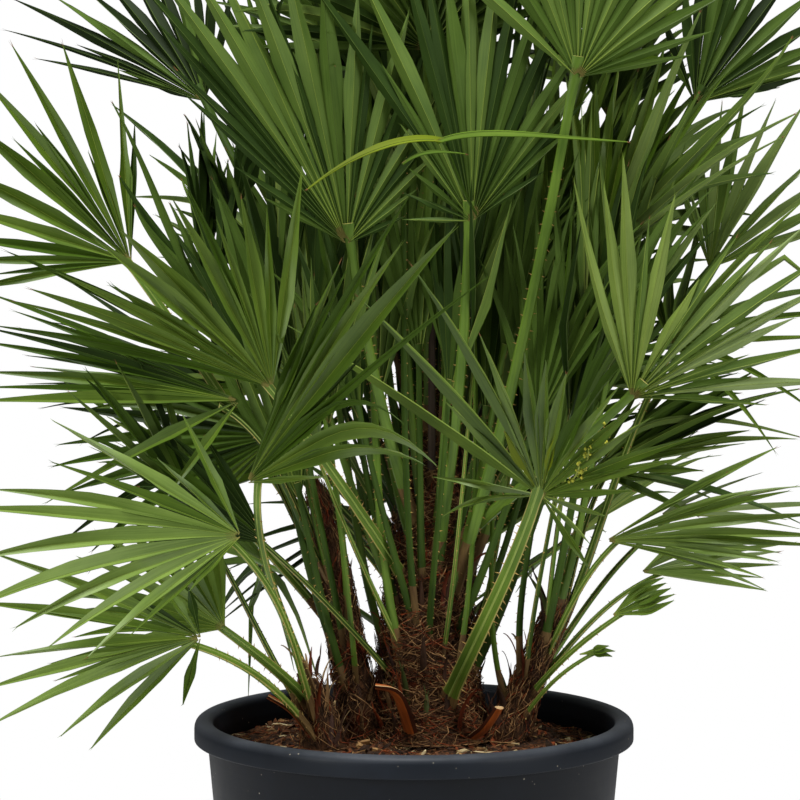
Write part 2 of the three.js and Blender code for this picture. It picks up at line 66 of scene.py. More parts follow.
# Square soft lamps: place, the point they face and size, all in metres, and power in watts
SOFTBOXES = {
    "top_softbox": ((-0.3, -0.7, 3.7), (0, 0, 0.7), 1.5, 150),
    "left_softbox": ((-2.3, -2.2, 1.5), (0, 0, 0.55), 0.8, 52),
    "right_softbox": ((2.4, -1.9, 1.3), (0, 0, 0.55), 0.8, 42),
}
for name, (place, aim, size, watts) in SOFTBOXES.items():
    lamp = bpy.data.lights.new(name, "AREA")
    lamp.size = size
    lamp.energy = watts
    holder = bpy.data.objects.new(name, lamp)
    holder.location = place
    holder.rotation_euler = (Vector(aim) - Vector(place)).to_track_quat("-Z", "Y").to_euler()
    bpy.context.scene.collection.objects.link(holder)


def linear(code):
    """A hex colour, as a screen shows it, turned to the shader's linear values."""
    parts = [int(code[i:i + 2], 16) / 255 for i in (1, 3, 5)]
    return [p / 12.92 if p <= 0.04045 else ((p + 0.055) / 1.055) ** 2.4 for p in parts] + [1.0]


def add_node(tree, kind, values=None, links=None, **settings):
    """Adds one node with its settings, its sockets' values and the outputs linked to its sockets."""
    made = tree.nodes.new(kind)
    for name, value in settings.items():
        setattr(made, name, value)
    for name, value in (values or {}).items():
        made.inputs[name].default_value = value
    for name, source in (links or {}).items():
        tree.links.new(source, made.inputs[name])
    return made


def start_material(name, roughness, ior=1.45, specular=0.5):
    """A new material with its shader set: gives the material, its node tree and the shader node."""
    made = bpy.data.materials.new(name)
    made.use_nodes = True
    shader = made.node_tree.nodes["Principled BSDF"]
    shader.inputs["Roughness"].default_value = roughness
    shader.inputs["IOR"].default_value = ior
    shader.inputs["Specular IOR Level"].default_value = specular
    return made, made.node_tree, shader


def colour_ramp(tree, factor, stops):
    """Sets colours, each (place, hex), over a factor from 0 to 1 and gives the colour output."""
    ramp = add_node(tree, "ShaderNodeValToRGB", links={"Fac": factor})
    while len(ramp.color_ramp.elements) < len(stops):
        ramp.color_ramp.elements.new(0.5)
    for element, (place, code) in zip(ramp.color_ramp.elements, stops):
        element.position = place
        element.color = linear(code)
    return ramp.outputs["Color"]


# White surround: it shows as pure white behind the plant, and lights it softly and more weakly from all
# around.

SURROUND_LIGHT = 0.22

surround = bpy.data.worlds.new("white_surround")
surround.use_nodes = True
bpy.context.scene.world = surround
surround_glow = surround.node_tree.nodes["Background"]
surround_seen = add_node(surround.node_tree, "ShaderNodeLightPath").outputs["Is Camera Ray"]
surround_strength = add_node(
    surround.node_tree, "ShaderNodeMapRange", {"To Min": SURROUND_LIGHT, "To Max": 1.0},
    {"Value": surround_seen})
surround_glow.inputs["Color"].default_value = (1, 1, 1, 1)
surround.node_tree.links.new(surround_strength.outputs["Result"], surround_glow.inputs["Strength"])


# White painted floor under the pot: a round studio table that ends outside the photograph's frame. It is
# staged, so it is no part of the plant.

FLOOR_RADIUS = 1.4

bpy.ops.object.select_all(action="DESELECT")
bpy.ops.mesh.primitive_circle_add(vertices=128, radius=FLOOR_RADIUS, fill_type="NGON", location=(0, 0, 0))
floor = bpy.context.object
floor.name = "floor"
paint, paint_tree, paint_shader = start_material("matt_white_floor_paint", 0.9, specular=0.1)
paint_grain = add_node(
    paint_tree, "ShaderNodeTexNoise", {"Scale": 3.0},
    {"Vector": add_node(paint_tree, "ShaderNodeTexCoord").outputs["Object"]})
paint_tree.links.new(
    colour_ramp(paint_tree, paint_grain.outputs["Fac"], [(0.0, "#f6f6f6"), (1.0, "#fbfbfb")]),
    paint_shader.inputs["Base Color"])
floor.data.materials.append(paint)


# Pot: blow-moulded charcoal polyethylene, one thin wall with a slight draft whose rim is rolled over
# into a short skirt, and drain holes in its floor.

POT_HEIGHT = 400
POT_DRAFT = 5.2
POT_WALL = 4
POT_FLOOR = 5
RIM_RADIUS = 250
RIM_INNER_RADIUS = 228
RIM_HEIGHT = 24
RIM_TOP_WALL = 8
WALL_TOP_RADIUS = 235
DRAIN_HOLES = 6
DRAIN_RADIUS = 11
DRAIN_CIRCLE = 150
TURN_STEPS = 144


def wall_radius(height):
    """The outer radius of the pot's wall at a height."""
    return WALL_TOP_RADIUS - (POT_HEIGHT - RIM_HEIGHT - height) * math.tan(math.radians(POT_DRAFT))


def rounded(corners, steps=6):
    """Points of a profile of corners (radius, height, rounding), each corner turned into an arc."""
    points = []
    for i, (r, z, rounding) in enumerate(corners):
        here = Vector((r, z))
        if rounding == 0:
            points.append(here)
            continue
        before = Vector(corners[i - 1][:2]) - here
        after = Vector(corners[i + 1][:2]) - here
        start = here + before.normalized() * rounding
        end = here + after.normalized() * rounding
        for k in range(steps + 1):
            t = k / steps
            points.append(start.lerp(here, t).lerp(here.lerp(end, t), t))
    return points


def turned_piece(name, points, steps=TURN_STEPS):
    """A profile of points (radius, height) in millimetres spun about the Z axis, with its poles closed."""
    bpy.ops.object.select_all(action="DESELECT")
    outline = bpy.data.meshes.new(name)
    edges = [(i, i + 1) for i in range(len(points) - 1)]
    outline.from_pydata([(r * MM, 0, z * MM) for r, z in points], edges, [])
    made = bpy.data.objects.new(name, outline)
    bpy.context.scene.collection.objects.link(made)
    made.select_set(True)
    bpy.context.view_layer.objects.active = made
    bpy.ops.object.mode_set(mode="EDIT")
    bpy.ops.mesh.select_all(action="SELECT")
    bpy.ops.mesh.spin(steps=steps, angle=math.tau, center=(0, 0, 0), axis=(0, 0, 1))
    bpy.ops.mesh.select_all(action="SELECT")
    bpy.ops.mesh.remove_doubles(threshold=0.05 * MM)
    bpy.ops.mesh.normals_make_consistent(inside=False)
    bpy.ops.object.mode_set(mode="OBJECT")
    return made


def smooth_by_angle(piece, degrees):
    """Shades a piece smooth, apart from its edges that are sharper than an angle."""
    bpy.ops.object.select_all(action="DESELECT")
    piece.select_set(True)
    bpy.context.view_layer.objects.active = piece
    bpy.ops.object.shade_smooth_by_angle(angle=math.radians(degrees))


pot = turned_piece("pot_shell", rounded([
    (0, 0, 0),
    (wall_radius(0), 0, 4),
    (wall_radius(POT_HEIGHT - RIM_TOP_WALL), POT_HEIGHT - RIM_TOP_WALL, 2),
    (RIM_RADIUS - POT_WALL, POT_HEIGHT - RIM_TOP_WALL, 3),
    (RIM_RADIUS - POT_WALL, POT_HEIGHT - RIM_HEIGHT, 1.5),
    (RIM_RADIUS, POT_HEIGHT - RIM_HEIGHT, 1.8),
    (RIM_RADIUS, POT_HEIGHT, 11),
    (RIM_INNER_RADIUS, POT_HEIGHT, 9),
    (wall_radius(POT_HEIGHT - 2 * RIM_HEIGHT) - POT_WALL, POT_HEIGHT - 2 * RIM_HEIGHT, 8),
    (wall_radius(POT_FLOOR) - POT_WALL, POT_FLOOR, 3),
    (0, POT_FLOOR, 0),
]))

bpy.ops.object.select_all(action="DESELECT")
drains = []
for i in range(DRAIN_HOLES):
    turn = math.tau * i / DRAIN_HOLES
    bpy.ops.mesh.primitive_cylinder_add(
        vertices=24, radius=DRAIN_RADIUS * MM, depth=4 * POT_FLOOR * MM,
        location=(DRAIN_CIRCLE * MM * math.cos(turn), DRAIN_CIRCLE * MM * math.sin(turn), 0))
    drains.append(bpy.context.object)
for drain in drains:
    drain.select_set(True)
bpy.ops.object.join()
drill = bpy.context.object
cut = pot.modifiers.new("drain_holes", "BOOLEAN")
cut.object = drill
cut.operation = "DIFFERENCE"
cut.solver = "EXACT"
bpy.context.view_layer.objects.active = pot
bpy.ops.object.modifier_apply(modifier="drain_holes")
bpy.data.objects.remove(drill)
smooth_by_angle(pot, 32)


def moulded_polyethylene():
    """Moulded black polyethylene: blue-black, half matt, with faint moulding rings and pale dust specks."""
    made, tree, shader = start_material("moulded_black_polyethylene", 0.46, ior=1.52, specular=0.14)
    place = add_node(tree, "ShaderNodeTexCoord").outputs["Object"]
    # Clouds of a hand's breadth, 60 mm, and moulding rings some 14 mm apart up the wall
    clouds = add_node(
        tree, "ShaderNodeTexNoise", {"Scale": 16.0, "Detail": 6.0, "Roughness": 0.62}, {"Vector": place})
    rings_place = add_node(tree, "ShaderNodeMapping", {"Scale": (1.2, 1.2, 70.0)}, {"Vector": place})
    rings = add_node(
        tree, "ShaderNodeTexNoise", {"Scale": 1.0, "Detail": 3.0}, {"Vector": rings_place.outputs["Vector"]})
    body = colour_ramp(
        tree, clouds.outputs["Fac"], [(0.25, "#04070b"), (0.55, "#080c12"), (0.85, "#10161f")])
    # Dust specks under a millimetre across, drawn at 1.5 mm so that they show
    specks = add_node(tree, "ShaderNodeTexVoronoi", {"Scale": 95.0}, {"Vector": place})
    few = add_node(tree, "ShaderNodeTexNoise", {"Scale": 22.0, "Detail": 2.0}, {"Vector": place})
    near_speck = add_node(
        tree, "ShaderNodeMapRange",
        {"From Min": 0.10, "From Max": 0.06, "To Min": 0.0, "To Max": 1.0},
        {"Value": specks.outputs["Distance"]})
    in_patch = add_node(
        tree, "ShaderNodeMapRange", {"From Min": 0.52, "From Max": 0.6}, {"Value": few.outputs["Fac"]})
    dusty = add_node(
        tree, "ShaderNodeMath", links={0: near_speck.outputs["Result"], 1: in_patch.outputs["Result"]},
        operation="MULTIPLY")
    # The rim is painted paler all round: partly its scuffs from handling, partly a painted highlight
    height = add_node(tree, "ShaderNodeSeparateXYZ", links={"Vector": place}).outputs["Z"]
    rim_foot = (POT_HEIGHT - RIM_HEIGHT) * MM
    on_rim = add_node(
        tree, "ShaderNodeMapRange",
        {"From Min": rim_foot - 2 * MM, "From Max": rim_foot + 2 * MM, "To Max": 0.28}, {"Value": height})
    rim_scuffs_and_highlight = add_node(
        tree, "ShaderNodeMix", {"B": linear("#252b33")}, {"Factor": on_rim.outputs["Result"], "A": body},
        data_type="RGBA")
    # Painted top light: faces that look up are mixed towards pale grey in cloudy patches, most on the rim's
    # flat top
    facing = add_node(
        tree, "ShaderNodeSeparateXYZ",
        links={"Vector": add_node(tree, "ShaderNodeNewGeometry").outputs["Normal"]})
    painted_top_light_mask = add_node(
        tree, "ShaderNodeMapRange", {"From Min": 0.2, "From Max": 1.0, "To Max": 0.8},
        {"Value": facing.outputs["Z"]})
    painted_top_light = add_node(
        tree, "ShaderNodeMath", links={0: painted_top_light_mask.outputs["Result"], 1: clouds.outputs["Fac"]},
        operation="MULTIPLY")
    colour = add_node(
        tree, "ShaderNodeMix", {"B": linear("#8b8577")}, {"Factor": dusty.outputs["Value"]},
        data_type="RGBA")
    painted_light_colour = add_node(
        tree, "ShaderNodeMix", {"B": linear("#5b5f66")},
        {"Factor": painted_top_light.outputs["Value"], "A": rim_scuffs_and_highlight.outputs["Result"]}, data_type="RGBA")
    tree.links.new(painted_light_colour.outputs["Result"], colour.inputs["A"])
    tree.links.new(colour.outputs["Result"], shader.inputs["Base Color"])
    gloss = add_node(
        tree, "ShaderNodeMapRange", {"To Min": 0.38, "To Max": 0.6}, {"Value": clouds.outputs["Fac"]})
    tree.links.new(gloss.outputs["Result"], shader.inputs["Roughness"])
    ring_bump = add_node(
        tree, "ShaderNodeBump", {"Strength": 0.35, "Distance": 0.6 * MM}, {"Height": rings.outputs["Fac"]})
    # The mould's fine grain, about 1.2 mm
    grain = add_node(tree, "ShaderNodeTexNoise", {"Scale": 800.0, "Detail": 2.0}, {"Vector": place})
    bump = add_node(
        tree, "ShaderNodeBump", {"Strength": 0.12, "Distance": 0.25 * MM},
        {"Height": grain.outputs["Fac"], "Normal": ring_bump.outputs["Normal"]})
    tree.links.new(bump.outputs["Normal"], shader.inputs["Normal"])
    return made


pot.data.materials.append(moulded_polyethylene())
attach(pot, "root")
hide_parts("pot")


# Soil: a mix of bark, coir and humus, poured in and sunk a little below the rim. Chips of bark and wood,
# bits of straw and loose fibres lie over it.

SOIL_TOP = 377
SOIL_EDGE = 366
SOIL_LEVEL_RADIUS = 150
SOIL_RINGS = 46
# Its swells: how often they come per millimetre, their layer of the noise and their height
SOIL_SWELLS = ((0.022, 7, 5), (0.11, 3, 2.4), (0.33, 5, 1.2))
SOIL_SUNK = 3
SEAT_GAP = 0.3
soil_dice = random.Random(11)


def soil_height(x, y):
    """The height of the soil's surface over a place, in millimetres."""
    away = math.hypot(x, y)
    slope = max(0.0, away - SOIL_LEVEL_RADIUS) / (RIM_INNER_RADIUS - SOIL_LEVEL_RADIUS)
    height = SOIL_TOP - slope * (SOIL_TOP - SOIL_EDGE) - SOIL_SUNK
    for often, layer, swell in SOIL_SWELLS:
        height += noise.noise(Vector((x, y, layer)) * often) * swell
    return height


soil_wall = wall_radius(POT_FLOOR) - POT_WALL - SEAT_GAP
soil_rim = wall_radius(SOIL_EDGE) - POT_WALL - 4
soil = turned_piece("soil_mix", (
    [Vector((0, POT_FLOOR + SEAT_GAP)), Vector((soil_wall, POT_FLOOR + SEAT_GAP))]
    + [Vector((soil_rim * (1 - k / SOIL_RINGS), SOIL_TOP)) for k in range(SOIL_RINGS + 1)]))
for point in soil.data.vertices:
    if point.co.z > 0.5 * SOIL_TOP * MM:
        point.co.z = soil_height(point.co.x / MM, point.co.y / MM) * MM
smooth_by_angle(soil, 60)


def potting_mix():
    """Moist potting mix of bark and coir: dull dark brown, crumbly, with redder and paler crumbs."""
    made, tree, shader = start_material("bark_and_coir_mix", 0.92, specular=0.25)
    place = add_node(tree, "ShaderNodeTexCoord").outputs["Object"]
    # Crumbs of 4 mm, in patches of about 30 mm
    crumbs = add_node(tree, "ShaderNodeTexVoronoi", {"Scale": 230.0, "Randomness": 1.0}, {"Vector": place})
    patches = add_node(
        tree, "ShaderNodeTexNoise", {"Scale": 34.0, "Detail": 8.0, "Roughness": 0.7}, {"Vector": place})
    tone = add_node(
        tree, "ShaderNodeMix", {"Factor": 0.5},
        {"A": patches.outputs["Fac"], "B": crumbs.outputs["Color"]}, data_type="FLOAT")
    tree.links.new(
        colour_ramp(tree, tone.outputs["Result"], [
            (0.28, "#1d130c"), (0.45, "#3a2617"), (0.6, "#573620"), (0.75, "#7a4a2a"), (0.92, "#a57c4d")]),
        shader.inputs["Base Color"])
    bump = add_node(
        tree, "ShaderNodeBump", {"Strength": 1.0, "Distance": 2.5 * MM},
        {"Height": crumbs.outputs["Distance"]})
    rough = add_node(
        tree, "ShaderNodeBump", {"Strength": 0.8, "Distance": 1.5 * MM},
        {"Height": patches.outputs["Fac"], "Normal": bump.outputs["Normal"]})
    tree.links.new(rough.outputs["Normal"], shader.inputs["Normal"])
    return made


soil.data.materials.append(potting_mix())
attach(soil, "root")
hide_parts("soil")


def new_heap():
    """An empty heap that small shapes of one kind are gathered in, to become one joined piece."""
    return {"points": [], "faces": [], "finish": [], "across": [], "count": 0}


def gather(heap, points, faces, finish, across=None):
    """Adds a shape to a heap: points in millimetres, faces by number, one finish or one for each face, and
    each point's place on the surface in millimetres."""
    base = heap["count"]
    points = np.asarray(points, float)
    heap["points"].append(points)
    heap["faces"].extend(tuple(base + k for k in face) for face in faces)
    heap["finish"].extend([finish] * len(faces) if isinstance(finish, int) else finish)
    heap["across"].append(np.zeros((len(points), 2)) if across is None else np.asarray(across, float))
    heap["count"] += len(points)


def joined_piece(name, heap, finishes, smooth=None, replaced=()):
    """One piece from a heap, with its materials, its surface map in metres and its calls to the frame."""
    mesh = bpy.data.meshes.new(name)
    mesh.from_pydata((np.concatenate(heap["points"]) * MM).tolist(), [], heap["faces"])
    for finish in finishes:
        mesh.materials.append(finish)
    mesh.polygons.foreach_set("material_index", heap["finish"])
    corners = np.empty(len(mesh.loops), int)
    mesh.loops.foreach_get("vertex_index", corners)
    surface = mesh.uv_layers.new(name="surface")
    surface.uv.foreach_set("vector", (np.concatenate(heap["across"]) * MM)[corners].ravel())
    mesh.update()
    made = bpy.data.objects.new(name, mesh)
    bpy.context.scene.collection.objects.link(made)
    if smooth:
        smooth_by_angle(made, smooth)
    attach(made, "root")
    if replaced:
        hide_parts(*replaced)
    return made


BOX_CORNERS = (
    (-1, -1, -1), (1, -1, -1), (1, 1, -1), (-1, 1, -1), (-1, -1, 1), (1, -1, 1), (1, 1, 1), (-1, 1, 1))
BOX_FACES = ((0, 3, 2, 1), (4, 5, 6, 7), (0, 1, 5, 4), (1, 2, 6, 5), (2, 3, 7, 6), (3, 0, 4, 7))
CHIP_TILT = 0.35
CHIP_WORN = (0.45, 1.0)


def chip_shape(middle, length, width, thickness, dice):
    """A broken flake: a box whose corners are worn unevenly, turned to lie nearly flat."""
    turn = dice.uniform(0, math.tau)
    tip = dice.gauss(0, CHIP_TILT)
    lean = dice.gauss(0, CHIP_TILT)
    along = Vector((math.cos(turn) * math.cos(tip), math.sin(turn) * math.cos(tip), math.sin(tip)))
    aside = Vector((-math.sin(turn), math.cos(turn), math.tan(lean))).normalized()
    up = along.cross(aside).normalized()
    points = []
    for x, y, z in BOX_CORNERS:
        worn = [dice.uniform(*CHIP_WORN) for _ in range(3)]
        points.append(
            Vector(middle)
            + along * (x * worn[0] * length / 2)
            + aside * (y * worn[1] * width / 2)
            + up * (z * worn[2] * thickness / 2))
    return points, BOX_FACES


# A direction that strands seldom run along, from which the turn of each ring of a strand is found
STRAND_ASIDE = Vector((0.31, 0.17, 0.93))


def strand_shape(line, radius, sides=3):
    """A thin round strand along a line of points, pointed at both ends."""
    line = [Vector(p) for p in line]
    points = [line[0]]
    for before, here, after in zip(line, line[1:], line[2:]):
        ahead = (after - before).normalized()
        aside = ahead.cross(STRAND_ASIDE).normalized()
        up = ahead.cross(aside)
        for k in range(sides):
            turn = math.tau * k / sides
            points.append(here + (aside * math.cos(turn) + up * math.sin(turn)) * radius)
    points.append(line[-1])
    last = len(points) - 1
    faces = [(0, 1 + (k + 1) % sides, 1 + k) for k in range(sides)]
    for ring in range(len(line) - 3):
        base = 1 + ring * sides
        for k in range(sides):
            nxt = (k + 1) % sides
            faces.append((base + k, base + nxt, base + sides + nxt, base + sides + k))
    base = 1 + (len(line) - 3) * sides
    faces.extend((base + k, base + (k + 1) % sides, last) for k in range(sides))
    return points, faces


def plain_litter(name, code, darker, roughness=0.85):
    """Dead plant matter: matt, in one colour that clouds to a darker one over about 6 mm."""
    made, tree, shader = start_material(name, roughness, specular=0.25)
    place = add_node(tree, "ShaderNodeTexCoord").outputs["Object"]
    clouds = add_node(tree, "ShaderNodeTexNoise", {"Scale": 160.0, "Detail": 4.0}, {"Vector": place})
    colour = colour_ramp(tree, clouds.outputs["Fac"], [(0.35, darker), (0.65, code)])
    tree.links.new(colour, shader.inputs["Base Color"])
    bump = add_node(
        tree, "ShaderNodeBump", {"Strength": 0.5, "Distance": 0.5 * MM}, {"Height": clouds.outputs["Fac"]})
    tree.links.new(bump.outputs["Normal"], shader.inputs["Normal"])
    return made


LITTER = [
    plain_litter("dark_bark_chip", "#3c281a", "#1f140c"),
    plain_litter("brown_bark_chip", "#6e4527", "#43291a"),
    plain_litter("red_bark_chip", "#8f4824", "#5a2b17"),
    plain_litter("tan_wood_chip", "#b18a58", "#7a5a38"),
    plain_litter("pale_straw", "#d2c197", "#a38c60"),
]
CHIP_SHARES = [34, 34, 16, 11, 5]
CHIPS = 2300
CHIP_SHORTEST = 3
CHIP_LONGEST = 20
CHIP_WIDTH_SHARE = (0.35, 0.8)
CHIP_THICKNESS_SHARE = (0.25, 0.6)
CHIP_THICKEST = 4
CHIP_RISE = 0.4
LOOSE_FIBRES = 520
LOOSE_FIBRE_SHARES = [20, 30, 15, 25, 10]
LOOSE_FIBRE_POINTS = 6
LOOSE_FIBRE_STEP = (5, 12)
LOOSE_FIBRE_BEND = 0.35
LOOSE_FIBRE_RADIUS = (0.3, 0.8)


def soil_place(dice):
    """A place on the soil, even over its round surface."""
    away = (soil_rim - 7) * math.sqrt(dice.random())
    turn = dice.uniform(0, math.tau)
    return away * math.cos(turn), away * math.sin(turn)


chips = new_heap()
for _ in range(CHIPS):
    x, y = soil_place(soil_dice)
    length = CHIP_SHORTEST + (CHIP_LONGEST - CHIP_SHORTEST) * soil_dice.random() ** 3
    width = length * soil_dice.uniform(*CHIP_WIDTH_SHARE)
    thickness = min(CHIP_THICKEST, width * soil_dice.uniform(*CHIP_THICKNESS_SHARE))
    kind = soil_dice.choices(range(len(LITTER)), CHIP_SHARES)[0]
    middle = (x, y, soil_height(x, y) + CHIP_RISE)
    gather(chips, *chip_shape(middle, length, width, thickness, soil_dice), kind)
joined_piece("bark_chips", chips, LITTER)

fibres = new_heap()
for _ in range(LOOSE_FIBRES):
    x, y = soil_place(soil_dice)
    turn = soil_dice.uniform(0, math.tau)
    bend = soil_dice.gauss(0, LOOSE_FIBRE_BEND)
    step = soil_dice.uniform(*LOOSE_FIBRE_STEP)
    line = []
    for k in range(LOOSE_FIBRE_POINTS):
        if math.hypot(x, y) < soil_rim - 3:
            line.append((x, y, soil_height(x, y) + 1.2 + 1.6 * math.sin(1.7 * k + turn)))
        x += step * math.cos(turn)
        y += step * math.sin(turn)
        turn += bend
    if len(line) > 3:
        kind = soil_dice.choices(range(len(LITTER)), LOOSE_FIBRE_SHARES)[0]
        gather(fibres, *strand_shape(line, soil_dice.uniform(*LOOSE_FIBRE_RADIUS)), kind)
joined_piece("loose_fibres", fibres, LITTER)


# Stems: soft wood clothed in the brown net of old leaf sheaths. The trunk stands in the middle, with a
# lower stem on each side and a sucker at the left.

STEM_FOOT = SOIL_TOP + SEAT_GAP
# Stations up each stem: height over its foot, x, y and radius
STEMS = {
    "trunk": [
        (0, 18, 0, 74), (14, 18, 0, 66), (60, 17, 1, 58), (150, 16, 3, 50),
        (280, 20, 10, 36), (360, 19, 13, 25), (395, 18, 14, 13)],
    "stem_left": [
        (0, -58, -8, 31), (45, -65, -14, 25), (200, -92, -26, 18), (270, -107, -26, 13),
        (300, -112, -26, 7)],
    "stem_right": [(0, 104, -18, 28), (50, 122, -25, 21), (115, 146, -36, 16), (170, 162, -40, 8)],
    "sucker_left": [(0, -100, -68, 27), (40, -107, -76, 21), (85, -118, -86, 11)],
}
STEM_SIDES = 40
STEM_RING_STEP = 9
STEM_BARE_SHARE = 0.93


def stem_top(stem):
    """The height of a stem's top above the floor, in millimetres."""
    return STEM_FOOT + STEMS[stem][-1][0]


def stem_at(stem, height):
    """The middle of a stem and its radius at a height above the floor, in millimetres."""
    stations = STEMS[stem]
    rise = min(max(height, STEM_FOOT), stem_top(stem)) - STEM_FOOT
    x, y, radius = (
        float(np.interp(rise, [s[0] for s in stations], [s[k] for s in stations])) for k in (1, 2, 3))
    return Vector((x, y, height)), radius


def ringed_limb(name, rings, sides):
    """A limb of level rings (x, y, height, radius): one circle extruded from each ring to the next."""
    bpy.ops.object.select_all(action="DESELECT")
    x, y, z, radius = rings[0]
    bpy.ops.mesh.primitive_circle_add(
        vertices=sides, radius=radius * MM, fill_type="NGON", location=(x * MM, y * MM, z * MM))
    made = bpy.context.object
    made.name = name
    bpy.ops.object.mode_set(mode="EDIT")
    bpy.ops.mesh.select_all(action="SELECT")
    for low, high in zip(rings, rings[1:]):
        step = [(b - a) * MM for a, b in zip(low[:3], high[:3])]
        bpy.ops.mesh.extrude_region_move(TRANSFORM_OT_translate={"value": step})
        share = high[3] / low[3]
        bpy.ops.transform.resize(value=(share, share, share), center_override=[v * MM for v in high[:3]])
    bpy.ops.mesh.select_all(action="SELECT")
    bpy.ops.mesh.normals_make_consistent(inside=False)
    bpy.ops.object.mode_set(mode="OBJECT")
    bpy.ops.object.transform_apply(location=True, rotation=True, scale=True)
    return made


def displace(piece, name, kind, size, strength):
    """Raises and sinks a piece's surface by a cloudy or cellular pattern of a size, both in millimetres."""
    pattern = bpy.data.textures.new(name, kind)
    pattern.noise_scale = size * MM
    relief = piece.modifiers.new(name, "DISPLACE")
    relief.texture = pattern
    relief.texture_coords = "LOCAL"
    relief.strength = strength * MM
    relief.mid_level = 0.6
    bpy.context.view_layer.objects.active = piece
    bpy.ops.object.modifier_apply(modifier=name)


def sheath_net():
    """The stem's clothing of old leaf sheaths: matt dark brown fibre, rusty where it is torn fresh."""
    made, tree, shader = start_material("brown_sheath_net", 0.9, specular=0.2)
    place = add_node(tree, "ShaderNodeTexCoord").outputs["Object"]
    # Fibres about 1.5 mm apart that run up the stem, and rusty patches some 40 mm long
    run = add_node(tree, "ShaderNodeMapping", {"Scale": (420.0, 420.0, 60.0)}, {"Vector": place})
    threads = add_node(
        tree, "ShaderNodeTexNoise", {"Scale": 1.0, "Detail": 5.0, "Roughness": 0.7},
        {"Vector": run.outputs["Vector"]})
    patches = add_node(tree, "ShaderNodeTexNoise", {"Scale": 24.0, "Detail": 3.0}, {"Vector": place})
    rust = add_node(
        tree, "ShaderNodeMapRange", {"From Min": 0.56, "From Max": 0.7}, {"Value": patches.outputs["Fac"]})
    brown = colour_ramp(tree, threads.outputs["Fac"], [
        (0.3, "#1c120b"), (0.5, "#3b2616"), (0.68, "#664227"), (0.85, "#9a7044")])
    red = colour_ramp(tree, threads.outputs["Fac"], [(0.3, "#2a0f07"), (0.6, "#6e2a12"), (0.85, "#a9541f")])
    colour = add_node(
        tree, "ShaderNodeMix", links={"Factor": rust.outputs["Result"], "A": brown, "B": red},
        data_type="RGBA")
    tree.links.new(colour.outputs["Result"], shader.inputs["Base Color"])
    bump = add_node(
        tree, "ShaderNodeBump", {"Strength": 1.0, "Distance": 2.0 * MM}, {"Height": threads.outputs["Fac"]})
    tree.links.new(bump.outputs["Normal"], shader.inputs["Normal"])
    return made


SHEATH_NET = sheath_net()
# The relief's patterns: kind, size and strength in millimetres
STEM_RELIEF = {"torn_sheath_edges": ("STUCCI", 14, 7), "fibre_clumps": ("CLOUDS", 6, 4)}
for stem in STEMS:
    tall = STEMS[stem][-1][0]
    rings = []
    for k in range(round(tall / STEM_RING_STEP) + 1):
        rise = min(tall, k * STEM_RING_STEP)
        middle, radius = stem_at(stem, STEM_FOOT + rise)
        rings.append((middle.x, middle.y, middle.z, radius * STEM_BARE_SHARE))
    limb = ringed_limb(f"{stem}_core", rings, STEM_SIDES)
    for name, (kind, size, strength) in STEM_RELIEF.items():
        displace(limb, name, kind, size, strength)
    smooth_by_angle(limb, 60)
    limb.data.materials.append(SHEATH_NET)
    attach(limb, "root")
    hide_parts(stem)


# Fibres of the leaf sheaths: a loose tangle of curly threads over every stem, thickest low down, from
# dark brown to tan and rust red.

FIBRE_THREADS = {"trunk": 4200, "stem_left": 900, "stem_right": 700, "sucker_left": 260}
FIBRE_POINTS = 7
FIBRE_CLIMB = (4, 11)
FIBRE_SWEEP = 0.16
FIBRE_WAVER = 0.07
FIBRE_PROUD = (0.5, 5.5)
FIBRE_FRAY = 2.2
FIBRE_RADIUS = (0.25, 0.6)
# The trunk's fibres stand out further than those of the slim stems
FIBRE_LOOSE = {"trunk": 1, "stem_left": 0.4, "stem_right": 0.4, "sucker_left": 0.4}
FIBRE_KINDS = [
    plain_litter("dark_sheath_fibre", "#34210f", "#1c1009"),
    plain_litter("brown_sheath_fibre", "#5f3f26", "#382313"),
    plain_litter("tan_sheath_fibre", "#9c774c", "#6b4c2e"),
    plain_litter("rusty_sheath_fibre", "#8a3d1a", "#55220f"),
]
FIBRE_SHARES = [20, 38, 30, 12]
fibre_dice = random.Random(23)
threads = new_heap()
for stem, count in FIBRE_THREADS.items():
    tall = STEMS[stem][-1][0]
    for _ in range(count):
        rise = tall * fibre_dice.random() ** 1.15
        turn = fibre_dice.uniform(0, math.tau)
        climb = fibre_dice.uniform(*FIBRE_CLIMB) * fibre_dice.choice((-1, 1))
        sweep = fibre_dice.gauss(0, FIBRE_SWEEP)
        proud = FIBRE_LOOSE[stem] * fibre_dice.uniform(*FIBRE_PROUD)
        line = []
        for _ in range(FIBRE_POINTS):
            middle, radius = stem_at(stem, STEM_FOOT + min(max(rise, 1), tall))
            frayed = FIBRE_LOOSE[stem] * abs(fibre_dice.gauss(0, FIBRE_FRAY))
            away = radius * STEM_BARE_SHARE + proud + frayed
            line.append(middle + Vector((math.cos(turn), math.sin(turn), 0)) * away)
            rise += climb * fibre_dice.uniform(0.2, 1.0)
            turn += sweep + fibre_dice.gauss(0, FIBRE_WAVER)
        kind = fibre_dice.choices(range(len(FIBRE_KINDS)), FIBRE_SHARES)[0]
        gather(threads, *strand_shape(line, fibre_dice.uniform(*FIBRE_RADIUS)), kind)
joined_piece("sheath_fibres", threads, FIBRE_KINDS)


# Fronds: each a thorny leaf stalk that ends in a fan of leaflets, pleated and joined over their inner
# part. Every frond grows by one rule from its foot, hub, heading, rise, roll, spread and reach, and the
# rule is the solids' own; only the leaflets are finer.

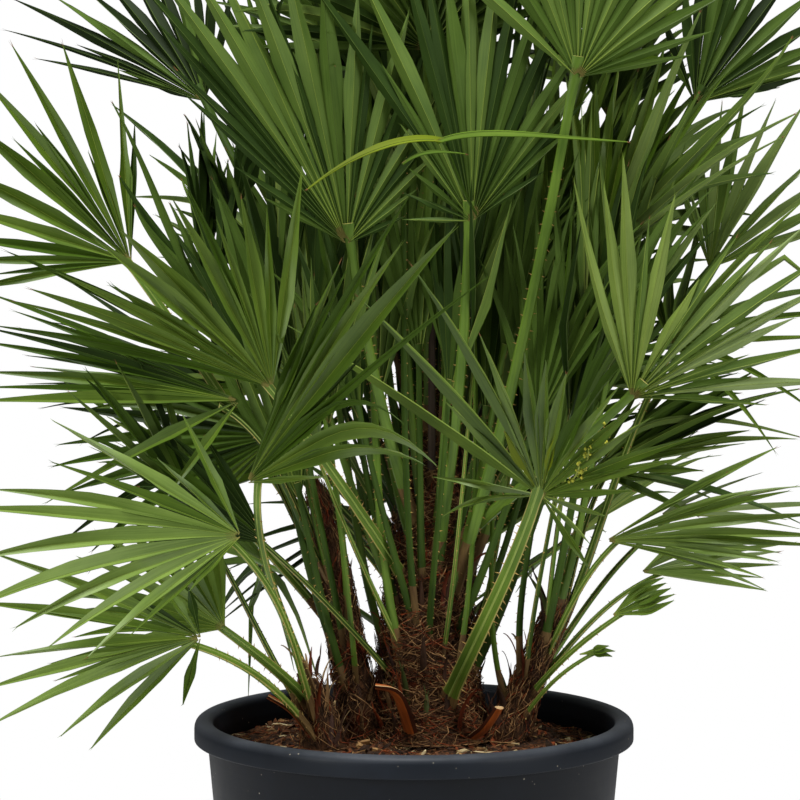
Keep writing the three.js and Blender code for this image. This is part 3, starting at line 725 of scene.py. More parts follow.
# The photograph's fronds, by the stem they grow on: foot's height, hub, heading, rise, roll, spread, reach
SHOWN_FRONDS = {
    "trunk": [
        (424, (128, -300, 680), -90, 52, 148, 180, 325),
        (600, (-73, -150, 938), -72, 77, -14, 130, 350),
        (560, (61, -170, 962), -135, 76, 45, 140, 290),
        (520, (169, -190, 1114), -76, 82, -14, 140, 300),
        (540, (-151, -200, 785), -158, 46, -86, 90, 275),
        (580, (228, -220, 776), -25, 52, -70, 130, 255),
        (640, (-243, 100, 1104), 157, 63, 85, 130, 320),
        (620, (312, -40, 1094), 11, 62, -79, 130, 270),
        (560, (341, 60, 910), 7, 44, -70, 130, 265),
        (540, (212, 20, 937), 0, 36, -55, 90, 260),
        (610, (-106, 60, 853), 171, 58, 73, 120, 300),
        (590, (146, 70, 839), 13, 67, -82, 120, 300),
        (560, (129, 150, 741), 25, 52, 45, 110, 250),
        (650, (49, 130, 872), 99, 78, 155, 130, 290),
    ],
    "stem_left": [
        (560, (-191, -120, 767), -170, -13, -53, 100, 285),
        (600, (-323, 30, 917), 173, 45, -65, 115, 310),
    ],
    "sucker_left": [
        (446, (-171, -320, 695), -31, 44, 101, 105, 325),
        (414, (-177, -330, 642), -177, 14, -45, 125, 275),
        (391, (-222, -280, 531), -169, -8, -46, 122, 245),
        (430, (-204, -170, 525), 158, 26, -40, 110, 200),
    ],
    "stem_right": [
        (470, (211, -100, 612), -5, 18, 52, 105, 222),
        (440, (254, -60, 573), 5, -6, 29, 100, 200),
        (500, (204, 20, 680), 0, 14, 40, 100, 235),
        (424, (214, -150, 536), 0, 22, 70, 24, 80),
        (410, (176, -120, 511), 0, 10, 70, 50, 60),
    ],
}
FROND_FIELDS = ("foot", "hub", "heading", "rise", "roll", "spread", "reach")

# The fronds that complete the crown, one at each free place of a spiral up the trunk. Pairs are the values
# at the lowest and the highest try, in millimetres or degrees.
FILL_TRIES = 84
FILL_MOST = 34
FILL_FOOT = (465, 735)
FILL_RISE = (17, 84)
FILL_STALK = (285, 520)
FILL_STALK_STRAY = 0.08
FILL_REACH = (300, 270)
FILL_SPREAD = 170
FILL_DROOP = 18
FILL_ROLL = 58
FILL_RISE_STRAY = 12
FILL_STEADIER_AT_TOP = 0.6
FILL_HUB_SPACING = 119
FILL_FRONT_LIMIT = -60
FILL_FRONT_OPEN_ABOVE = 1080
FILL_SIDE_STEM_REACH = 240
FILL_SIDE_STEM_BELOW = 900
FILL_SIDE_SHARE = (0.3, 0.9)
CHANCE_START = 7919
CHANCE_ROUNDS = 3
CHANCE_FACTOR = 16807
CHANCE_MODULUS = 2147483647

TURN_BETWEEN = 137.508
NUDGES = 14
NUDGE_STEP = 11
FOOT_STEP = 8
LOWEST_FOOT = 14
LEAFLET_ANGLE = 12.5
JOINED_SHARE = 0.38
SIDE_LEAFLET_SHORTER = 0.24
BLADE_CUP = 0.12
BLADE_SAG = 0.07
SOLID_BLADE_THICKNESS = 3.4
LIFTS = (0, 7, -7, 14, -14)
UP = np.array((0.0, 0.0, 1.0))


def chance(seed):
    """A random number from 0 to 1 that is always the same for the same seed."""
    state = CHANCE_START * (seed + 1)
    for _ in range(CHANCE_ROUNDS):
        state = state * CHANCE_FACTOR % CHANCE_MODULUS
    return state / CHANCE_MODULUS


def between(ends, share):
    """The value at a share of the way from one end to the other."""
    return ends[0] + (ends[1] - ends[0]) * share


def fill_fronds():
    """Fronds a golden angle apart that climb the trunk, each with its hub clear of the hubs before it."""
    hubs = [np.array(row[1], float) for rows in SHOWN_FRONDS.values() for row in rows]
    fronds = []
    for i in range(FILL_TRIES):
        climb = (i + 0.5) / FILL_TRIES
        steady = 1 - FILL_STEADIER_AT_TOP * climb
        heading = i * TURN_BETWEEN
        rise = between(FILL_RISE, climb)
        foot = between(FILL_FOOT, climb)
        stray = between((-FILL_STALK_STRAY, FILL_STALK_STRAY), chance(i))
        stalk = between(FILL_STALK, climb) * (1 + stray)
        outward, upward = math.radians(heading), math.radians(rise)
        hub = np.array(stem_at("trunk", foot)[0]) + stalk * np.array((
            math.cos(upward) * math.cos(outward), math.cos(upward) * math.sin(outward), math.sin(upward)))
        seen = hub[1] < FILL_FRONT_LIMIT and hub[2] < FILL_FRONT_OPEN_ABOVE
        if seen or any(np.linalg.norm(other - hub) <= FILL_HUB_SPACING for other in hubs):
            continue
        hubs.append(hub)
        stem = "trunk"
        if hub[2] < FILL_SIDE_STEM_BELOW and abs(hub[0]) > FILL_SIDE_STEM_REACH:
            stem = "stem_left" if hub[0] < 0 else "stem_right"
            foot = between((SOIL_TOP, stem_top(stem)), between(FILL_SIDE_SHARE, climb))
        rise_stray = between((-FILL_RISE_STRAY, FILL_RISE_STRAY), chance(i + 2 * FILL_TRIES))
        roll = steady * between((-FILL_ROLL, FILL_ROLL), chance(i + FILL_TRIES))
        fronds.append(dict(
            stem=stem, foot=foot, hub=hub, heading=heading, rise=rise - steady * FILL_DROOP + rise_stray,
            roll=roll, spread=FILL_SPREAD, reach=between(FILL_REACH, climb)))
        if len(fronds) == FILL_MOST:
            break
    return fronds


def unit(v):
    """A vector made one long."""
    return v / np.linalg.norm(v)


def blade_axes(frond):
    """The middle leaflet's direction, the blade's sideways direction, and the way its upper face looks."""
    heading, rise, roll = (math.radians(frond[k]) for k in ("heading", "rise", "roll"))
    ahead = np.array((
        math.cos(rise) * math.cos(heading), math.cos(rise) * math.sin(heading), math.sin(rise)))
    level = np.array((-math.sin(heading), math.cos(heading), 0.0))
    lifted = np.cross(ahead, level)
    side = level * math.cos(roll) + lifted * math.sin(roll)
    return ahead, side, lifted * math.cos(roll) - level * math.sin(roll)


def blade_point(frond, axes, angle, distance, lift=0.0):
    """A point of a blade's middle surface, by its angle from the middle leaflet and its distance from the
    hub. Beyond the joined part it is raised by a lift in degrees."""
    ahead, side, face = axes
    outward = ahead * math.cos(angle) + side * math.sin(angle)
    beyond = max(0.0, distance - frond["reach"] * JOINED_SHARE)
    return (
        frond["hub"] + outward * distance
        + face * (distance * BLADE_CUP + beyond * math.tan(math.radians(lift)))
        - UP * BLADE_SAG * distance * distance / frond["reach"])


def coarse_leaflets(frond):
    """The count of the solid's leaflets and the angle from one to the next."""
    count = max(2, round(frond["spread"] / LEAFLET_ANGLE))
    return count, math.radians(frond["spread"]) / count


def nudged(frond, trial):
    """A trial place for a frond: its hub moved a little round its own, and its foot up or down the stem."""
    angle = math.radians(trial * TURN_BETWEEN)
    distance = NUDGE_STEP * math.sqrt(trial)
    _, side, face = blade_axes(frond)
    hub = np.array(frond["hub"], float)
    hub = hub + side * distance * math.cos(angle) + face * distance * math.sin(angle)
    shift = FOOT_STEP * math.ceil(trial / 2) * (1 if trial % 2 else -1)
    return {**frond, "hub": hub, "foot": max(frond["foot"] + shift, SOIL_TOP + LOWEST_FOOT)}


CORNER_MATCH = 0.05


def has_corner(corners, point):
    """Whether a solid has a corner at a point."""
    return np.abs(corners - point).max(1).min() < CORNER_MATCH


def as_built(frond, name):
    """The frond in the trial place where its solid stands, with each of its leaflets' lifts."""
    corners = np.array([v.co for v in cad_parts[name].data.vertices], float) / MM
    count, step = coarse_leaflets(frond)
    for trial in range(NUDGES):
        moved = nudged(frond, trial)
        axes = blade_axes(moved)
        joined = moved["reach"] * JOINED_SHARE
        raised = axes[2] * SOLID_BLADE_THICKNESS / 2
        notches = [
            blade_point(moved, axes, (i - count / 2) * step, joined) + raised for i in range(count + 1)]
        if sum(has_corner(corners, notch) for notch in notches) >= 2:
            lifts = []
            for i in range(count):
                angle = (i + 0.5 - count / 2) * step
                aside = 2 * angle / math.radians(moved["spread"])
                length = moved["reach"] * (1 - SIDE_LEAFLET_SHORTER * aside ** 2)
                tips = {lift: blade_point(moved, axes, angle, length, lift) for lift in LIFTS}
                lifts.append(next((lift for lift, tip in tips.items() if has_corner(corners, tip)), None))
            return {**moved, "lifts": lifts}
    raise SystemExit(f"{name} doesn't stand where the rule puts it")


fronds = [
    {"stem": stem, **dict(zip(FROND_FIELDS, row))} for stem, rows in SHOWN_FRONDS.items() for row in rows]
shown_count = len(fronds)
fronds = [
    {"number": i + 1, **frond} for i, frond in enumerate(fronds + fill_fronds())
    if f"frond_{i + 1:02d}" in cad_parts]
fronds = [as_built(frond, f"frond_{frond['number']:02d}") for frond in fronds]


# Blades. Each leaflet is folded along its rib like a V, joined to its neighbours at the upper edges, split
# in two at the tip, and now and then tipped with brown.

LEAF_THICKNESS = 0.9
LEAFLET_BETWEEN = 8.6
LEAFLET_WIDEST_HALF = 8.5
LEAFLET_WIDEST_AT = 0.34
LEAFLET_TAPER = 1.08
LIFT_STRAY = 4.0
OWN_LIFT_STRAY = 1.2
LENGTH_STRAY = (0.88, 1.0)
WIDTH_STRAY = (0.85, 1.1)
SWAY_STRAY = 0.06
LIMP_STRAY = 0.12
TWIST_STRAY = 0.42
KINK_CHANCE = 0.03
KINK_PLACE = (0.35, 0.75)
KINK_TURN = (0.5, 1.3)
WITHERED_CHANCE = 0.3
NARROWEST_STEP = 3.0
WIDEST_STEP = 11.0
RIB_HALF = 0.65
JOINED_STATIONS = (0.05, 0.14, 0.42, 0.72, 1.0)
FREE_STATIONS = (0.08, 0.2, 0.34, 0.48, 0.62, 0.76, 0.88, 0.95)
RIM_CLEARANCE = 12

# The blades' greens, from the sunlit to the deeply shaded: upper face and greyer lower face
LEAF_GREENS = {
    "sunlit": ("#6e843a", "#526826", "#778850", "#5a6e38"),
    "bright": ("#5a7022", "#405616", "#687b3a", "#4f642a"),
    "mid": ("#4b6214", "#33490b", "#556b24", "#3d5517"),
    "deep": ("#3d5513", "#2a3d0b", "#4a6024", "#364b16"),
    "dark": ("#21330a", "#152206", "#2c4013", "#1d2e0b"),
    "shadow": ("#121d05", "#0b1303", "#1c2a0b", "#111c06"),
    "straw": ("#687e2b", "#4c621b", "#728539", "#546824"),
    "cool": ("#445d22", "#2e4415", "#5c7236", "#42591f"),
    "lime": ("#45600c", "#344a08", "#566e1d", "#405813"),
    "pale": ("#647214", "#525e10", "#647214", "#525e10"),
}
GREEN_ORDER = list(LEAF_GREENS)


def leaf_cuticle(name, light, dark, roughness, specular=0.24):
    """A palm leaf's face: waxed green skin with fine veins that run its whole length and a satin gloss."""
    made, tree, shader = start_material(name, roughness, ior=1.45, specular=specular)
    surface = add_node(tree, "ShaderNodeUVMap", uv_map="surface").outputs["UV"]
    # Veins 1.2 mm apart along the leaflet, and tone that drifts over some 80 mm
    run = add_node(tree, "ShaderNodeMapping", {"Scale": (820.0, 9.0, 1.0)}, {"Vector": surface})
    veins = add_node(
        tree, "ShaderNodeTexNoise", {"Scale": 1.0, "Detail": 3.0}, {"Vector": run.outputs["Vector"]})
    drift_run = add_node(tree, "ShaderNodeMapping", {"Scale": (40.0, 12.0, 1.0)}, {"Vector": surface})
    drift = add_node(
        tree, "ShaderNodeTexNoise", {"Scale": 1.0, "Detail": 3.0}, {"Vector": drift_run.outputs["Vector"]})
    tone = add_node(
        tree, "ShaderNodeMix", {"Factor": 0.6}, {"A": veins.outputs["Fac"], "B": drift.outputs["Fac"]},
        data_type="FLOAT")
    colour = colour_ramp(tree, tone.outputs["Result"], [(0.36, dark), (0.62, light)])
    tree.links.new(colour, shader.inputs["Base Color"])
    bump = add_node(
        tree, "ShaderNodeBump", {"Strength": 0.35, "Distance": 0.3 * MM}, {"Height": veins.outputs["Fac"]})
    tree.links.new(bump.outputs["Normal"], shader.inputs["Normal"])
    return made


# Leaves of these greens mirror other leaves rather than the white room, so their gloss is less
SHADED_TINTS = ("shadow", "dark", "deep", "cool", "pale", "lime")
SHADED_GLOSS = 0.1
OPEN_GLOSS = 0.3
LEAF_FINISHES = []
for tint, (upper, upper_dark, lower, lower_dark) in LEAF_GREENS.items():
    gloss = SHADED_GLOSS if tint in SHADED_TINTS else OPEN_GLOSS
    LEAF_FINISHES.append(leaf_cuticle(f"{tint}_leaf_upper_face", upper, upper_dark, 0.46, gloss))
    LEAF_FINISHES.append(leaf_cuticle(f"{tint}_leaf_lower_face", lower, lower_dark, 0.6, gloss))
RIB = len(LEAF_FINISHES)
LEAF_FINISHES.append(leaf_cuticle("pale_leaf_rib", "#84923f", "#5f7226", 0.5))
LEAF_FINISHES.append(leaf_cuticle("shaded_leaf_rib", "#4f6126", "#36481a", 0.5))
TIP = len(LEAF_FINISHES)
LEAF_FINISHES.append(leaf_cuticle("withered_leaf_tip", "#7d5a34", "#4f351d", 0.8))
HUB = len(LEAF_FINISHES)
LEAF_FINISHES.append(leaf_cuticle("woolly_leaf_hub", "#80783f", "#5c5a2a", 0.85))


def turn_about(vectors, axis, angles):
    """Vectors turned about an axis, each by its own angle, in radians."""
    cosine, sine = np.cos(angles)[:, None], np.sin(angles)[:, None]
    along = (vectors * axis).sum(1, keepdims=True) * axis
    return vectors * cosine + np.cross(axis, vectors) * sine + along * (1 - cosine)


def folded_strip(heap, centre, across, normal, half, fold, thickness, tips, finishes, seed):
    """One leaflet: a strip folded along its middle whose end is split into two tips.

    centre, across and normal have a row for each station, half is the half width there and fold the
    height of the edges over the middle. finishes are upper, lower and tip."""
    upper, lower, tip_finish = finishes
    raised = normal * (half * fold / 2)[:, None]
    edge = across * half[:, None]
    down = normal * np.asarray(thickness)[:, None]
    ring = np.stack([
        centre - edge + raised, centre - raised, centre + edge + raised,
        centre + edge + raised - down, centre - raised - down, centre - edge + raised - down], 1)
    count = len(centre)
    points = np.concatenate([ring.reshape(-1, 3), tips])
    faces = [(0, 1, 4, 5), (1, 2, 3, 4)]
    finish = [lower, lower]
    for k in range(count - 1):
        # Each quad is cut into two triangles, along the same diagonal on the upper and the lower face
        for i, kind in enumerate((upper, upper, upper, lower, lower, upper)):
            a, b, c, d = 6 * k + i, 6 * k + 6 + i, 6 * k + 6 + (i + 1) % 6, 6 * k + (i + 1) % 6
            faces.extend([(a, b, d), (b, c, d)] if kind == lower else [(a, b, c), (a, c, d)])
            finish.extend([kind, kind])
    last, left, right = 6 * (count - 1), 6 * count, 6 * count + 1
    for a, b, point in ((0, 1, left), (1, 4, left), (4, 5, left), (5, 0, left),
                        (1, 2, right), (2, 3, right), (3, 4, right), (4, 1, right)):
        faces.append((last + a, point, last + b))
        finish.append(tip_finish)
    spot = np.linalg.norm(np.diff(centre, axis=0), axis=1).cumsum()
    spot = np.concatenate([[0.0], spot]) + 400 * seed
    sides = np.stack([-half, 0 * half, half, half, 0 * half, -half], 1) + 90 * seed
    surface = np.stack([sides, np.repeat(spot[:, None], 6, 1)], 2).reshape(-1, 2)
    surface = np.concatenate([surface, [[90 * seed, spot[-1] + 15]] * 2])
    gather(heap, points, faces, finish, surface)


def rib_strand(heap, centre, across, normal, fold, width, finish_number):
    """A leaflet's rib: a slim ridge that stands proud of both faces along the fold, woolly at the hub."""
    count = len(centre)
    width = np.asarray(width)[:, None]
    middle = centre - normal * (fold / 2)[:, None]
    ring = np.stack([
        middle - across * width, middle + normal * 0.55, middle + across * width,
        middle - normal * (LEAF_THICKNESS + width)], 1)
    points = np.concatenate([ring[:-1].reshape(-1, 3), middle[-1:]])
    faces = [(0, 1, 2, 3)]
    finish = [HUB]
    for k in range(count - 2):
        for i in range(4):
            j = (i + 1) % 4
            faces.append((4 * k + i, 4 * k + 4 + i, 4 * k + 4 + j, 4 * k + j))
            finish.append(HUB if k == 0 else finish_number)
    base, end = 4 * (count - 2), 4 * (count - 1)
    faces.extend((base + i, end, base + (i + 1) % 4) for i in range(4))
    gather(heap, points, faces, finish + [finish_number] * 4)


def frames_along(line, wanted):
    """Across and normal directions at each point of a line, across kept as near as can be to wanted."""
    ahead = np.gradient(line, axis=0)
    ahead /= np.linalg.norm(ahead, axis=1, keepdims=True)
    across = wanted - ahead * (ahead * wanted).sum(1, keepdims=True)
    across /= np.linalg.norm(across, axis=1, keepdims=True)
    return ahead, across, np.cross(ahead, across)


def in_pot_or_floor(line):
    """Whether a line of points dips into the pot or the floor."""
    away = np.hypot(line[:, 0], line[:, 1])
    in_pot = (away < RIM_RADIUS + RIM_CLEARANCE) & (line[:, 2] < POT_HEIGHT + RIM_CLEARANCE)
    return bool(in_pot.any() or line[:, 2].min() < RIM_CLEARANCE)


def leaflet(leaves, ribs, frond, axes, angle, step, lift, tint, dice, own=None):
    """One leaflet of a blade, at an angle from its middle, with its own bends, twist and tips.

    own holds the length's share of the reach, half width, limpness and sway of a leaflet that the
    photograph shows."""
    ahead, side, face = axes
    reach = frond["reach"] * frond.get("longer", 1.0)
    joined = reach * frond.get("joined", JOINED_SHARE)
    aside = min(1.0, 2 * abs(angle) / math.radians(frond["spread"]))
    length = reach * (1 - SIDE_LEAFLET_SHORTER * aside * aside) * dice.uniform(*LENGTH_STRAY)
    if own:
        length = reach * own[0]
        joined = min(joined, 0.4 * length)
    free = length - joined
    distance = np.array([joined * s for s in JOINED_STATIONS] + [joined + free * u for u in FREE_STATIONS])
    u = np.maximum(0, (distance - joined) / free)
    inner = len(JOINED_STATIONS)
    lift = lift + dice.gauss(0, OWN_LIFT_STRAY if own else LIFT_STRAY)
    line = np.array([blade_point(frond, axes, angle, d, lift) for d in distance])
    outward = ahead * math.cos(angle) + side * math.sin(angle)
    flat_across = side * math.cos(angle) - ahead * math.sin(angle)
    sway = own[3] if own else dice.gauss(0, SWAY_STRAY)
    limp = own[2] if own else abs(dice.gauss(0, LIMP_STRAY))
    line += flat_across * (sway * free * u ** 1.6)[:, None] - UP * (limp * free * u ** 2.2)[:, None]
    if not own and dice.random() < frond.get("kinks", KINK_CHANCE):
        bend_at = dice.uniform(*KINK_PLACE)
        pivot = line[np.searchsorted(u, bend_at) - 1]
        axis = unit(np.cross(outward, -UP) + flat_across * 1e-3)
        past = u > bend_at
        kink = np.full(past.sum(), dice.uniform(*KINK_TURN))
        line[past] = pivot + turn_about(line[past] - pivot, axis, kink)
    tangent, across, normal = frames_along(line, flat_across)
    twist = dice.gauss(0, TWIST_STRAY) * np.minimum(1, 1.6 * u)
    across = turn_about(across, tangent, twist)
    normal = turn_about(normal, tangent, twist)
    across[:inner] = flat_across
    normal[:inner] = face
    joined_half = joined * math.tan(step / 2)
    widest = frond.get("half", LEAFLET_WIDEST_HALF) * (1 - 0.3 * aside) * dice.uniform(*WIDTH_STRAY)
    if own:
        widest = own[1]
    swell = np.clip(u / LEAFLET_WIDEST_AT, 0, 1)
    taper = np.clip((u - LEAFLET_WIDEST_AT) / (1 - LEAFLET_WIDEST_AT), 0, 1)
    free_half = (joined_half + (widest - joined_half) * swell * (2 - swell)) * (1 - taper ** LEAFLET_TAPER)
    half = np.where(u > 0, free_half, distance * math.tan(step / 2))
    fold = np.where(u > 0, 0.92 - 0.3 * u, 1.05 - 0.13 * distance / joined)
    seed = dice.random()
    thickness = LEAF_THICKNESS * (1 - 0.5 * u)
    split = max(1.0, 0.4 * half[-1]) * dice.uniform(0.8, 2.0)
    tip = line[-1] + tangent[-1] * (1 - FREE_STATIONS[-1]) * free
    tips = np.array([tip - across[-1] * split, tip + across[-1] * split - tangent[-1] * dice.uniform(0, 4)])
    withered = dice.random() < WITHERED_CHANCE
    if in_pot_or_floor(np.concatenate([line, tips])):
        return
    number = GREEN_ORDER.index(tint)
    folded_strip(
        leaves, line, across, normal, half, fold, thickness, tips,
        (2 * number, 2 * number + 1, TIP if withered else 2 * number), seed)
    rib_strand(
        ribs, line[:-1], across[:-1], normal[:-1], (half * fold)[:-1],
        RIB_HALF * (1 - 0.65 * distance[:-1] / length), RIB + (tint in SHADED_TINTS))


